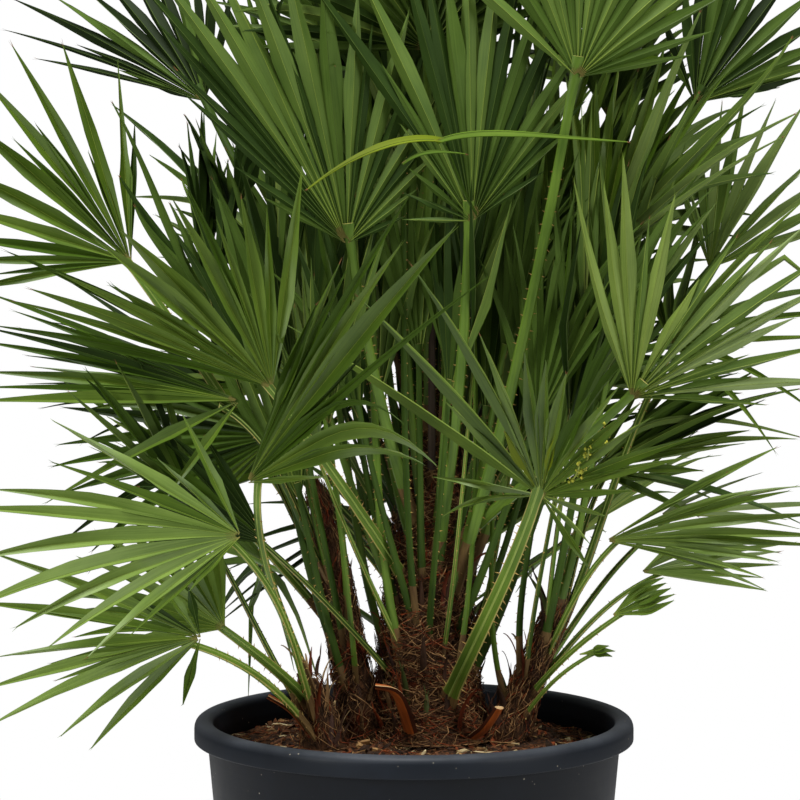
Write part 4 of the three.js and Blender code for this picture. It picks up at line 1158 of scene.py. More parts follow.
# Leaflets of the fronds that the photograph shows, one by one: angle from the middle, length as a share of
# the reach, half width, green, and, where they are not zero, limpness and sway
SHOWN_LEAFLETS = {
    1: (
        (-132, 0.28, 4.5, "mid"), (-110, 0.21, 3.5, "bright", 0.1), (-75, 0.26, 4, "bright"),
        (-54, 0.43, 4.5, "mid"), (-44, 0.57, 5, "bright"), (-44, 0.77, 5, "bright"), (-40, 0.87, 6, "mid"),
        (-32, 0.76, 6, "bright"), (-28, 0.77, 7, "mid"), (-22, 0.77, 7, "bright"), (-17, 0.64, 8, "deep"),
        (-11, 0.35, 5, "pale"), (-9, 0.67, 8, "bright"), (-3, 0.68, 8, "mid"), (3, 0.69, 8, "mid"),
        (15, 0.73, 7, "bright"), (20, 1.02, 8, "mid", 0, 0.1), (26, 0.28, 7, "pale"), (40, 0.95, 9, "mid"),
        (47, 0.45, 7, "bright"), (61, 1.01, 7, "bright"), (98, 0.38, 4, "bright"),
        (112, 0.27, 3, "mid", 0.2), (113, 0.37, 3.5, "bright", 0.25)),
    2: (
        (-64, 0.30, 4, "deep"), (-58, 0.43, 5, "dark"), (-49, 0.70, 6.5, "dark"), (-46, 0.78, 7, "dark"),
        (-42, 0.94, 8, "dark"), (-39, 1.17, 8, "dark", 0.02), (-36, 1.13, 10, "mid"),
        (-31, 1.10, 10, "mid"), (-27, 1.07, 10.5, "mid"), (-22, 1.02, 11, "mid"), (-20, 0.88, 8, "dark"),
        (-15, 1.01, 11, "mid"), (-9, 0.91, 12.5, "deep", 0, 0.03), (-1, 0.82, 10.5, "mid"),
        (3, 0.71, 6, "dark"), (11, 0.78, 9.5, "mid"), (18, 0.70, 7, "dark"), (27, 0.63, 6.5, "mid"),
        (34, 0.50, 6, "dark"), (41, 0.41, 6, "mid"), (49, 0.28, 4.5, "mid"), (62, 0.20, 4, "dark")),
    3: (
        (-79, 0.26, 2.5, "mid"), (-58, 0.28, 3.5, "dark"), (-40, 0.31, 4, "deep"), (-26, 0.46, 4.5, "mid"),
        (-22, 1.18, 9, "dark"), (-19, 0.70, 5, "deep"), (-13, 1.13, 10, "mid"), (-4, 1.13, 9, "dark"),
        (0, 1.09, 8, "dark"), (4, 1.11, 11.5, "deep"), (9, 1.14, 11, "mid"), (15, 1.11, 9.5, "mid"),
        (20, 1.07, 8.5, "dark"), (26, 1.06, 8, "deep"), (32, 0.97, 8, "dark"), (40, 0.85, 7.5, "deep"),
        (46, 0.74, 7, "mid"), (52, 0.63, 6.5, "dark"), (56, 0.51, 6, "deep"), (65, 0.33, 4, "dark")),
    4: (
        (-49, 0.66, 8, "mid"), (-34, 0.65, 9, "deep"), (-23, 0.69, 10, "mid"), (-15, 0.73, 10, "mid"),
        (-7, 0.76, 10, "deep"), (-1, 0.78, 10.5, "mid"), (7, 0.76, 10, "mid"), (14, 0.75, 10, "deep"),
        (22, 0.73, 9.5, "mid"), (31, 0.70, 9, "deep"), (40, 0.68, 8.5, "mid"), (49, 0.68, 8, "mid"),
        (57, 0.66, 7.5, "deep"), (68, 0.52, 5, "deep"), (76, 0.42, 4, "deep")),
    5: (
        (-51, 0.92, 7, "bright", 0, 0.02), (-41, 0.74, 5, "mid"), (-33, 0.80, 8.5, "bright"),
        (-24, 0.74, 5, "bright"), (-20, 0.93, 5, "deep", 0, 0.02), (-15, 0.89, 9, "bright"),
        (0, 0.92, 11.5, "bright"), (6, 1.00, 10.5, "bright"), (13, 0.83, 6.5, "mid"),
        (16, 1.06, 6, "bright"), (16, 1.29, 6, "deep"), (21, 1.13, 8, "bright"), (24, 1.18, 5, "mid"),
        (29, 1.22, 6, "deep")),
    6: (
        (-54, 1.01, 5.5, "straw", 0, 0.1), (-44, 0.96, 8, "straw", 0, 0.02), (-38, 1.10, 9, "straw"),
        (-31, 0.80, 4.5, "mid"), (-25, 0.93, 8, "straw"), (-8, 0.59, 8, "straw"), (-5, 0.84, 6.5, "mid"),
        (3, 0.91, 7.5, "mid"), (6, 1.07, 7, "sunlit"), (14, 1.08, 7.5, "mid"), (20, 0.77, 3.5, "mid"),
        (21, 1.03, 7, "sunlit"), (25, 0.77, 6.5, "sunlit"), (32, 0.52, 4, "mid"), (36, 0.90, 6, "mid"),
        (43, 0.50, 5, "deep"), (46, 0.88, 6.5, "sunlit", 0.03), (54, 0.41, 4, "deep"),
        (56, 0.56, 3.5, "mid")),
    7: (
        (-47, 0.27, 4, "shadow"), (-47, 0.86, 3.5, "shadow"), (-44, 0.44, 4, "deep"),
        (-42, 1.07, 3.5, "shadow"), (-40, 0.67, 4, "shadow"), (-35, 1.06, 7, "shadow"),
        (-30, 0.88, 6.5, "deep"), (-23, 0.78, 7, "shadow"), (-16, 0.73, 8, "shadow"),
        (-8, 0.69, 8, "shadow"), (1, 0.66, 8, "shadow"), (10, 0.63, 8, "deep"), (19, 0.60, 7, "shadow"),
        (28, 0.55, 7, "shadow"), (40, 0.48, 6, "shadow")),
    8: (
        (-55, 0.24, 4, "deep"), (-49, 0.42, 6, "shadow"), (-32, 0.57, 7.5, "dark"),
        (-23, 0.68, 8, "shadow"), (-14, 0.74, 8.5, "deep"), (-7, 0.77, 8.5, "dark"), (2, 0.79, 8.5, "deep"),
        (11, 0.81, 9, "shadow"), (21, 0.83, 9, "deep"), (30, 0.85, 8.5, "dark"), (38, 0.85, 8, "deep"),
        (44, 0.75, 7, "mid"), (48, 0.60, 6, "shadow"), (51, 0.43, 5, "dark")),
    9: (
        (-68, 0.46, 4.5, "mid"), (-63, 0.37, 4, "bright"), (-53, 0.63, 6.5, "mid"),
        (-44, 0.77, 8, "bright"), (-36, 0.82, 8, "mid"), (-26, 0.83, 8, "bright"),
        (-17, 0.89, 9.5, "bright", 0, 0.03), (-1, 0.77, 6, "mid"), (9, 0.88, 7, "bright"),
        (19, 0.95, 6.5, "mid"), (25, 0.56, 4, "mid"), (28, 0.97, 5, "bright")),
    15: (
        (-43, 1.16, 5, "deep"), (-42, 0.73, 6, "dark"), (-41, 0.99, 5, "deep"), (-39, 0.62, 5, "dark"),
        (-35, 1.06, 6, "dark"), (-32, 1.07, 6, "deep"), (-31, 0.74, 4.5, "dark"), (-27, 0.82, 5, "mid"),
        (-24, 1.00, 7.5, "mid"), (-20, 1.02, 5, "deep"), (-15, 1.01, 8.5, "bright", 0, -0.03),
        (17, 0.85, 5, "mid"), (44, 0.56, 4, "mid")),
    16: (
        (-45, 0.56, 4, "dark"), (-40, 0.82, 3.5, "mid"), (-27, 0.92, 7, "mid"), (-23, 0.46, 4, "deep"),
        (-16, 0.98, 7.5, "mid"), (-10, 0.65, 5, "deep"), (-7, 0.95, 8.5, "mid"), (-1, 0.65, 5, "deep"),
        (4, 0.86, 9.5, "mid"), (17, 0.81, 9, "mid"), (29, 0.75, 7, "bright"), (39, 0.70, 6, "deep"),
        (47, 0.68, 5, "mid"), (53, 0.53, 3.5, "deep"), (57, 0.67, 5, "mid")),
    17: (
        (-36, 0.31, 3, "bright"), (-23, 0.70, 7, "mid", 0.3), (-15, 0.82, 9, "bright", 0.5),
        (-4, 1.21, 4, "deep"), (-4, 0.80, 4, "deep", 0.5), (0, 0.68, 4, "deep"), (4, 1.26, 12.5, "mid"),
        (9, 1.07, 8.5, "bright"), (12, 1.25, 6, "deep"), (15, 0.89, 5, "deep"), (17, 0.89, 9, "mid"),
        (18, 0.71, 7, "deep")),
    18: (
        (-56, 0.60, 4.5, "mid"), (-33, 0.45, 4.5, "mid"), (-21, 0.86, 7.5, "sunlit"), (-8, 0.77, 5, "mid"),
        (3, 0.95, 7.5, "sunlit", 0.05), (10, 1.06, 7.5, "sunlit"), (21, 1.02, 8, "sunlit", 0.06),
        (32, 1.13, 9, "sunlit", 0.08), (40, 0.96, 7, "sunlit", 0.08), (48, 0.89, 6.5, "sunlit", 0.06),
        (57, 0.83, 6.5, "sunlit", 0.04), (62, 0.67, 4, "mid"), (67, 0.36, 4, "mid")),
    19: (
        (-89, 0.26, 5, "dark"), (-69, 0.30, 6, "mid"), (-44, 0.37, 5, "dark"), (-38, 1.04, 5, "bright"),
        (-22, 0.98, 7, "bright"), (-21, 0.68, 5, "mid"), (-5, 0.87, 6, "bright"), (2, 0.65, 5.5, "bright"),
        (5, 0.94, 7, "sunlit"), (10, 0.65, 4.5, "bright"), (15, 0.98, 7.5, "sunlit", 0.04),
        (29, 0.75, 7, "sunlit", 0.04), (40, 0.71, 6.5, "bright", 0.04), (68, 0.37, 5.5, "mid")),
    21: (
        (-36, 0.87, 5, "bright", 0.06), (-33, 0.85, 4, "sunlit", 0.04), (-28, 0.91, 5.5, "sunlit", 0.02),
        (-27, 0.86, 4.5, "sunlit", 0.04), (-24, 0.90, 6, "sunlit"), (-21, 1.16, 5, "bright"),
        (-17, 1.15, 6.5, "sunlit"), (-10, 1.12, 6, "sunlit"), (-2, 0.97, 6, "bright"),
        (1, 0.75, 4, "sunlit"), (2, 1.07, 5, "sunlit", 0.1), (12, 0.71, 5, "bright"),
        (13, 1.01, 6, "sunlit")),
    22: (
        (-11, 0.70, 5.5, "sunlit"), (-1, 0.69, 3, "sunlit"), (8, 0.80, 5, "bright"),
        (10, 0.77, 4, "sunlit"), (18, 0.87, 5.5, "sunlit"), (23, 1.02, 5, "bright"),
        (24, 0.65, 6, "bright"), (38, 0.62, 6, "bright"), (49, 0.57, 5, "sunlit")),
    23: (
        (-51, 0.68, 5, "mid"), (-35, 0.66, 4, "bright", 0.1), (-33, 1.12, 6, "cool", 0.1),
        (-23, 0.56, 6, "bright"), (-8, 0.76, 6, "bright"), (-3, 1.04, 6, "sunlit", 0.1),
        (5, 0.56, 6, "mid"), (13, 0.79, 5, "bright"), (34, 0.55, 5, "mid"), (51, 0.55, 5, "mid")),
    24: (
        (-16, 0.87, 5, "bright", 0, 0.3), (-4, 0.93, 5.5, "bright", 0, 0.1), (5, 0.91, 6, "mid"),
        (16, 0.89, 5.5, "bright", 0, -0.15), (26, 0.90, 5, "bright", 0, -0.3)),
    30: (
        (-89, 0.82, 2.5, "sunlit"), (-70, 0.40, 4, "sunlit"), (-69, 0.45, 4, "sunlit"),
        (-62, 0.65, 5, "sunlit"), (-10, 0.94, 5, "sunlit"), (24, 0.83, 4.5, "sunlit"),
        (30, 1.07, 4.5, "sunlit")),
    34: (
        (-94, 0.18, 3, "mid"), (-70, 0.26, 4, "mid"), (-52, 0.47, 5, "dark"), (-31, 0.50, 5, "deep"),
        (-21, 0.23, 3.5, "deep"), (-19, 0.27, 4, "mid"), (-13, 0.57, 5, "deep"), (-8, 0.33, 4, "mid")),
    41: (
        (-84, 0.72, 6, "dark"), (-72, 0.84, 6.5, "deep"), (-60, 0.92, 6.5, "dark"), (-49, 0.98, 7, "dark"),
        (-39, 1.04, 7, "deep"), (-30, 1.05, 6.5, "dark"), (-22, 1.00, 5.5, "deep")),
    44: (
        (-59, 0.71, 5, "dark"), (-59, 1.16, 4, "mid"), (-49, 0.31, 4, "dark"), (-42, 0.41, 4, "deep"),
        (-41, 0.71, 5, "deep"), (-22, 0.85, 5.5, "dark"), (1, 0.38, 4, "dark"), (38, 0.50, 6, "dark"),
        (46, 0.51, 5, "deep"), (56, 0.38, 6, "dark"), (67, 0.37, 7, "deep"), (75, 0.73, 7, "dark"),
        (81, 0.74, 7, "dark"), (86, 0.66, 8, "dark")),
    45: (
        (-72, 0.86, 8, "dark"), (-62, 0.92, 8, "deep"), (-53, 0.96, 8, "dark"), (-44, 1.00, 8, "deep"),
        (-35, 0.98, 8, "dark"), (-27, 1.00, 8, "deep"), (-19, 0.97, 8, "dark"), (-11, 0.98, 8, "deep"),
        (-4, 0.95, 8, "dark")),
}

# How single fronds depart from the rule: their green, the joined part's share, leaflets' spacing and half
# width, the stalk's size, and for one that would cut through another in front of it, a hub further back
FROND_LOOKS = {
    1: {"tint": "mid", "joined": 0.24, "stalk_size": 1.35, "foot": 400},
    2: {"tint": "mid", "joined": 0.4},
    3: {"tint": "mid", "joined": 0.4},
    4: {"tint": "mid", "joined": 0.36},
    5: {"tint": "bright", "joined": 0.36},
    6: {"tint": "bright", "joined": 0.3},
    7: {"tint": "dark", "joined": 0.34},
    8: {"tint": "dark", "joined": 0.4},
    9: {"tint": "deep", "joined": 0.2},
    15: {"tint": "deep", "joined": 0.3},
    16: {"tint": "mid", "joined": 0.32},
    17: {"tint": "mid", "joined": 0.3},
    18: {"tint": "bright", "joined": 0.42},
    19: {"tint": "bright", "joined": 0.38},
    20: {"tint": "mid", "between": 11.0, "half": 7.5},
    21: {"tint": "mid", "joined": 0.34, "stalk_size": 0.75},
    22: {"tint": "mid", "joined": 0.3, "stalk_size": 0.75},
    23: {"tint": "mid", "joined": 0.26, "stalk_size": 0.75},
    24: {"tint": "bright", "joined": 0.78, "stalk_size": 0.8},
    25: {
        "tint": "mid", "between": 9.0, "half": 5, "kinks": 0.0, "spread": 24, "longer": 0.7,
        "stalk_size": 0.7},
    26: {"tint": "deep", "between": 16.0, "half": 5, "joined": 0.16},
    27: {"tint": "mid", "between": 14.0, "half": 5.5, "joined": 0.17},
    29: {"tint": "dark", "between": 16.0, "half": 5, "joined": 0.16},
    30: {"tint": "mid", "joined": 0.14},
    32: {"tint": "deep", "between": 13.0, "half": 5.5, "joined": 0.2},
    34: {"tint": "mid", "joined": 0.14},
    36: {"tint": "dark", "between": 12.0, "half": 5.5, "joined": 0.22},
    40: {"tint": "mid", "between": 15.0, "half": 5.5, "joined": 0.18},
    41: {"tint": "dark", "joined": 0.28},
    44: {"tint": "dark", "joined": 0.3},
    45: {"tint": "deep", "joined": 0.3},
    46: {"tint": "dark"},
    48: {"tint": "deep", "hub": (-103.3, 40, 1128)},
    49: {"tint": "deep"},
}


SHADES = ("sunlit", "bright", "mid", "deep", "dark")
SAME_SHADE_CHANCE = 0.6


def tint_near(tint, dice):
    """A leaflet's green: mostly its frond's, sometimes the next lighter or darker."""
    if tint not in SHADES or dice.random() < SAME_SHADE_CHANCE:
        return tint
    return SHADES[min(len(SHADES) - 1, max(0, SHADES.index(tint) + dice.choice((-1, 1))))]


def blade(leaves, ribs, frond, dice):
    """A frond's fan of leaflets."""
    axes = blade_axes(frond)
    spread = math.radians(frond["spread"])
    count = max(3, round(frond["spread"] / frond.get("between", LEAFLET_BETWEEN)))
    step = spread / count
    coarse = len(frond["lifts"])
    rows = SHOWN_LEAFLETS.get(frond["number"], ())
    places = [row[0] for row in rows]
    for i, (at, length, half, tint, *bends) in enumerate(rows):
        limp, sway = (*bends, 0, 0)[:2]
        gaps = [abs(at - place) for place in places[max(0, i - 1):i + 2] if place != at] or [WIDEST_STEP]
        own_step = math.radians(min(WIDEST_STEP, max(NARROWEST_STEP, sum(gaps) / len(gaps))))
        leaflet(
            leaves, ribs, frond, axes, math.radians(at), own_step, 0, tint, dice, (length, half, limp, sway))
    for j in range(0 if rows else count):
        angle = (j + 0.5 - count / 2) * step
        lift = frond["lifts"][min(coarse - 1, int((angle / spread + 0.5) * coarse))]
        leaflet(leaves, ribs, frond, axes, angle, step, lift or 0, tint_near(frond["tint"], dice), dice)


# Younger fronds grow between those that the solids stand for: beside most of them one that is nearer the
# clump's middle and more erect, and narrow upright ones in its heart, whose stalks hide the trunk.

COMPANION_INWARD = (50, 105)
COMPANION_INWARD_SHARE = 0.4
COMPANION_ASIDE = (30, 85)
COMPANION_DROP = (-25, 50)
COMPANION_FOOT = (395, 570)
COMPANION_FOOT_STEP = (10, 45)
COMPANION_TURN = (8, 30)
COMPANION_RISE = (0, 14)
COMPANION_ROLL = (-30, 30)
COMPANION_SPREAD = 0.85
COMPANION_REACH = (0.82, 0.96)
INNER_FRONDS = 30
INNER_FOOT = (560, 690)
INNER_RISE = (60, 85)
INNER_STALK = (170, 380)
INNER_SPREAD = (26, 76)
INNER_REACH = (300, 390)
INNER_ROLL = (-85, 85)
INNER_FRONT_RISE = 84
# Fronds that have no younger one beside them
ALONE = (*range(1, 8), 9, *range(16, 27), 29, 30, 32, 34, 40, 41, 44, 45, 46, 48)
# Young fronds are numbered on from here, so that each has draws of its own
YOUNG_FROM = 200
LOOKS_SEEDS_FROM = 100
STALK_SEEDS_FROM = 500
YOUNG_TINTS = ("deep", "mid", "dark", "deep", "mid", "dark")
YOUNG_LOOKS = {"half": 7, "kinks": 0, "stalk_size": 0.7, "between": 7.0}

# Upright fronds in front of the stems, known by their stalks: stem, foot's height, the side of the stem that
# it leaves as an angle, hub, heading, rise, roll, spread and reach
FRONT_STALKS = (
    ("trunk", 485, -110, (-60, -95, 742), -120, 80, 66, 40, 300),
    ("trunk", 462, -93, (38, -108, 768), -80, 84, -58, 44, 310),
    ("trunk", 436, -72, (64, -100, 790), -70, 82, 80, 40, 300),
    ("trunk", 469, -48, (133, -112, 742), -40, 74, -60, 46, 300),
    ("trunk", 451, -35, (166, -96, 722), -30, 64, 50, 60, 260),
    ("trunk", 455, -128, (-104, -95, 692), -130, 70, -70, 40, 280),
    ("trunk", 500, -140, (-92, -72, 734), -150, 76, 60, 40, 300),
    ("trunk", 431, -152, (-160, -128, 612), -165, 34, -50, 70, 200),
    ("trunk", 500, -62, (98, -84, 806), -60, 82, -75, 40, 300),
    ("trunk", 520, -100, (5, -78, 806), -100, 85, 30, 36, 320),
    ("trunk", 540, -75, (58, -72, 856), -80, 86, -40, 40, 300),
    ("trunk", 480, -134, (-76, -64, 800), -140, 80, 20, 40, 300),
    ("stem_left", 418, -118, (-127, -78, 653), -120, 78, 60, 50, 300),
    ("stem_left", 430, -84, (-94, -86, 735), -90, 84, -60, 40, 320),
    ("stem_left", 470, -100, (-134, -80, 792), -110, 82, 70, 40, 320),
    ("stem_left", 505, -70, (-112, -76, 842), -80, 84, -50, 40, 320),
    ("stem_left", 455, -140, (-158, -70, 760), -150, 78, 50, 44, 320),
    ("stem_left", 540, -120, (-150, -62, 880), -130, 80, -40, 44, 310),
    ("stem_right", 440, -100, (170, -92, 742), -60, 80, 50, 40, 320),
    ("stem_right", 470, -70, (196, -84, 770), -40, 76, -60, 46, 320),
    ("stem_right", 500, -95, (186, -88, 830), -50, 80, 40, 40, 320),
    ("stem_right", 520, -50, (216, -60, 802), -30, 74, -40, 50, 320),
    ("stem_right", 450, -140, (142, -80, 700), -80, 82, 30, 36, 320),
    ("stem_right", 415, -165, (88, -40, 690), -110, 84, -40, 36, 300),
    ("trunk", 430, -15, (116, -20, 720), -40, 80, 60, 40, 300),
    ("trunk", 412, -25, (150, -30, 660), -30, 76, -60, 40, 260),
    ("trunk", 560, 10, (206, -30, 918), 20, 70, 60, 60, 300),
    ("trunk", 600, 40, (157, 10, 922), 30, 76, 50, 70, 330),
    ("stem_right", 480, -20, (213, 30, 680), 0, 30, 40, 50, 240),
    ("stem_left", 560, 180, (-234, -40, 886), 120, 75, 40, 40, 250),
    ("sucker_left", 405, -150, (-236, -110, 640), -160, 52, -50, 60, 240),
)


FROND_SEED_STEP = 997
TRAIT_SEED_STEP = 31


def some(ends, i, trait):
    """A value between two ends, always the same for one frond and trait."""
    return between(ends, chance(FROND_SEED_STEP * (i + 1) + TRAIT_SEED_STEP * trait))


def companion(frond, i):
    """A younger frond beside another, nearer the clump's middle, turned aside and more erect."""
    hub = np.array(frond["hub"])
    outward = unit(hub * (1, 1, 0))
    level = np.array((-outward[1], outward[0], 0.0))
    way = 1 if some((0, 1), i, 1) < 0.5 else -1
    inward = min(some(COMPANION_INWARD, i, 2), COMPANION_INWARD_SHARE * np.linalg.norm(hub[:2]))
    foot = some(COMPANION_FOOT, i, 5)
    if frond["stem"] != "trunk":
        foot = min(frond["foot"] + some(COMPANION_FOOT_STEP, i, 5), stem_top(frond["stem"]) - LOWEST_FOOT)
    aside = level * way * some(COMPANION_ASIDE, i, 3)
    return {
        "stem": frond["stem"], "foot": foot, "spread": frond["spread"] * COMPANION_SPREAD,
        "hub": hub - outward * inward + aside - UP * some(COMPANION_DROP, i, 4),
        "heading": frond["heading"] + way * some(COMPANION_TURN, i, 6),
        "rise": frond["rise"] + some(COMPANION_RISE, i, 7),
        "roll": frond["roll"] + some(COMPANION_ROLL, i, 8),
        "reach": frond["reach"] * some(COMPANION_REACH, i, 9), "lifts": [0]}


def inner_frond(i):
    """A narrow upright frond in the clump's heart."""
    climb = (i + 0.5) / INNER_FRONDS
    heading = 40 + i * TURN_BETWEEN
    outward, upward = math.radians(heading), math.radians(between(INNER_RISE, climb))
    foot = between(INNER_FOOT, climb)
    hub = np.array(stem_at("trunk", foot)[0]) + between(INNER_STALK, climb) * np.array((
        math.cos(upward) * math.cos(outward), math.cos(upward) * math.sin(outward), math.sin(upward)))
    rise = INNER_FRONT_RISE if hub[1] < 0 else math.degrees(upward)
    return {
        "stem": "trunk", "foot": foot, "hub": hub, "heading": heading, "rise": rise, "lifts": [0],
        "roll": some(INNER_ROLL, i, 11), "spread": some(INNER_SPREAD, i, 12),
        "reach": some(INNER_REACH, i, 13)}


young = [companion(frond, frond["number"]) for frond in fronds if frond["number"] not in ALONE]
companions = len(young)
young += [inner_frond(i) for i in range(INNER_FRONDS)]
young += [
    {"stem": row[0], "foot_side": row[2], "lifts": [0], **dict(zip(FROND_FIELDS, row[1:2] + row[3:]))}
    for row in FRONT_STALKS]

# The blades are joined into five pieces, each with its ribs
UPPER_FROM = 1000
blade_groups = {
    "shown_leaves": [], "lower_leaves": [], "upper_leaves": [], "young_leaves": [], "inner_leaves": []}
for frond in fronds:
    dice = random.Random(LOOKS_SEEDS_FROM + frond["number"])
    upper = frond["hub"][2] >= UPPER_FROM
    shade = "mid" if upper else "deep"
    frond.update(FROND_LOOKS.get(frond["number"], {"tint": dice.choice((shade, shade, "dark", "mid"))}))
    group = "upper_leaves" if upper else "lower_leaves"
    blade_groups["shown_leaves" if frond["number"] <= shown_count else group].append(frond)
for i, frond in enumerate(young):
    number = YOUNG_FROM + i
    frond.update(YOUNG_LOOKS, number=number, tint=random.Random(number).choice(YOUNG_TINTS))
    blade_groups["young_leaves" if i < companions else "inner_leaves"].append(frond)

for name, members in blade_groups.items():
    leaves, ribs = new_heap(), new_heap()
    for frond in members:
        blade(leaves, ribs, frond, random.Random(frond["number"]))
    joined_piece(
        name, leaves, LEAF_FINISHES, smooth=24,
        replaced=[f"frond_{frond['number']:02d}" for frond in members if frond["number"] < YOUNG_FROM])
    joined_piece(name.replace("leaves", "ribs"), ribs, LEAF_FINISHES)


# Leaf stalks: flat above with a pale ridge, round below, with hooked thorns along both edges. The foot
# clasps the stem and is brown where it leaves its sheath.

STALK_WIDTH = 15
STALK_THICKNESS = 10
STALK_TIP_SHARE = 0.62
STALK_LEAST_SIZE = 0.5
STALK_FULL_REACH = 400
STALK_OVERLAP = 22
STALK_ROOT_DEPTH = 0.5
STALK_START_OUTWARD = 0.55
STALK_START_UPWARD = 0.65
STALK_START_LENGTH = 0.34
STALK_FINISH_AHEAD = 0.375
STALK_FINISH_LENGTH = 0.3
STALK_STATIONS = 26
# Half a stalk's section as shares of its half width and half thickness, from the left edge over the top
STALK_SECTION = (
    (-1, 0.1), (-0.84, 0.3), (-0.5, 0.5), (-0.16, 0.45), (0, 0.72), (0.16, 0.45), (0.5, 0.5), (0.84, 0.3),
    (1, 0.1), (0.72, -0.62), (0, -1), (-0.72, -0.62))
# Sides of that section: the two margins, and the ridge along the middle of its upper face
MARGIN_SIDES = (0, 7)
RIDGE_SIDES = (3, 4)
THORN_SPACING = (8, 20)
THORN_LENGTH = (2, 6.5)
THORN_BASE = 0.85
THORNY_SHARE = (0.12, 0.82)
SHADED_SKIN_CHANCE = 0.75
PURPLE_SKIN_CHANCE = 0.12
GREEN, RIDGE, BROWNED, SHADED, PURPLE, MARGIN = range(6)

STALK_FINISHES = [
    leaf_cuticle("green_stalk_skin", "#617c29", "#405a1a", 0.42),
    leaf_cuticle("pale_stalk_ridge", "#94a552", "#6f843a", 0.45),
    leaf_cuticle("browned_stalk_foot", "#7a6238", "#4a3320", 0.7),
    leaf_cuticle("shaded_stalk_skin", "#3d531b", "#263911", 0.45, 0.12),
    leaf_cuticle("purple_stalk_skin", "#4d4030", "#2f2420", 0.55),
    leaf_cuticle("horny_stalk_margin", "#a8a05c", "#7d7a3c", 0.5),
]


def stalk_points(frond):
    """The four guiding points of a stalk's curve, which leaves the stem outwards and upwards."""
    hub = np.array(frond["hub"])
    middle, radius = stem_at(frond["stem"], frond["foot"])
    middle = np.array(middle)
    outward = unit((hub - middle) * (1, 1, 0))
    if "foot_side" in frond:
        side = math.radians(frond["foot_side"])
        outward = np.array((math.cos(side), math.sin(side), 0.0))
    foot = middle + outward * radius * STALK_ROOT_DEPTH
    length = np.linalg.norm(hub - foot)
    direct = (hub - foot) / length
    ahead = blade_axes(frond)[0]
    start = unit(direct + outward * STALK_START_OUTWARD + UP * STALK_START_UPWARD)
    finish = unit(direct + ahead * STALK_FINISH_AHEAD)
    return (
        foot, foot + start * length * STALK_START_LENGTH, hub - finish * length * STALK_FINISH_LENGTH,
        hub + ahead * STALK_OVERLAP)


def bezier(guides, count):
    """Points along the curve that four guiding points give."""
    t = np.linspace(0, 1, count)[:, None]
    a, b, c, d = guides
    return a * (1 - t) ** 3 + 3 * b * t * (1 - t) ** 2 + 3 * c * t * t * (1 - t) + d * t ** 3


def swept_section(heap, line, across, normal, half, thick, section, finish, seed=0.0):
    """A section, in shares of a half width and half thickness, swept along a line with closed ends."""
    count, sides = len(line), len(section)
    points = np.concatenate([
        line[k] + np.outer([s[0] * half[k] for s in section], across[k])
        + np.outer([s[1] * thick[k] for s in section], normal[k]) for k in range(count)])
    faces = [tuple(range(sides)), tuple(reversed(range(sides * (count - 1), sides * count)))]
    kinds = [finish(0, 0), finish(count - 1, 0)]
    for k in range(count - 1):
        for i in range(sides):
            j = (i + 1) % sides
            faces.append((sides * k + i, sides * k + sides + i, sides * k + sides + j, sides * k + j))
            kinds.append(finish(k, i))
    run = np.concatenate([[0.0], np.linalg.norm(np.diff(line, axis=0), axis=1).cumsum()]) + 300 * seed
    girth = np.linspace(0, 2.6, sides)
    surface = np.concatenate([
        np.stack([girth * half[k] + 70 * seed, np.full(sides, run[k])], 1) for k in range(count)])
    gather(heap, points, faces, kinds, surface)


def thorn(heap, place, way, length, base, along):
    """A thorn: a slim three-sided spike on the stalk's edge."""
    tip = place + way * length
    up = np.cross(way, along)
    roots = [place - along * base, place + along * base - up * base, place + along * base * 0.6 + up * base]
    points = [root - way * base for root in roots] + [tip]
    faces = [(0, 1, 2), (0, 3, 1), (1, 3, 2), (2, 3, 0)]
    solid = np.array(points)
    turned = np.dot(np.cross(solid[1] - solid[0], solid[2] - solid[0]), solid[3] - solid[0]) > 0
    gather(heap, points, [face[::-1] for face in faces] if turned else faces, 0)


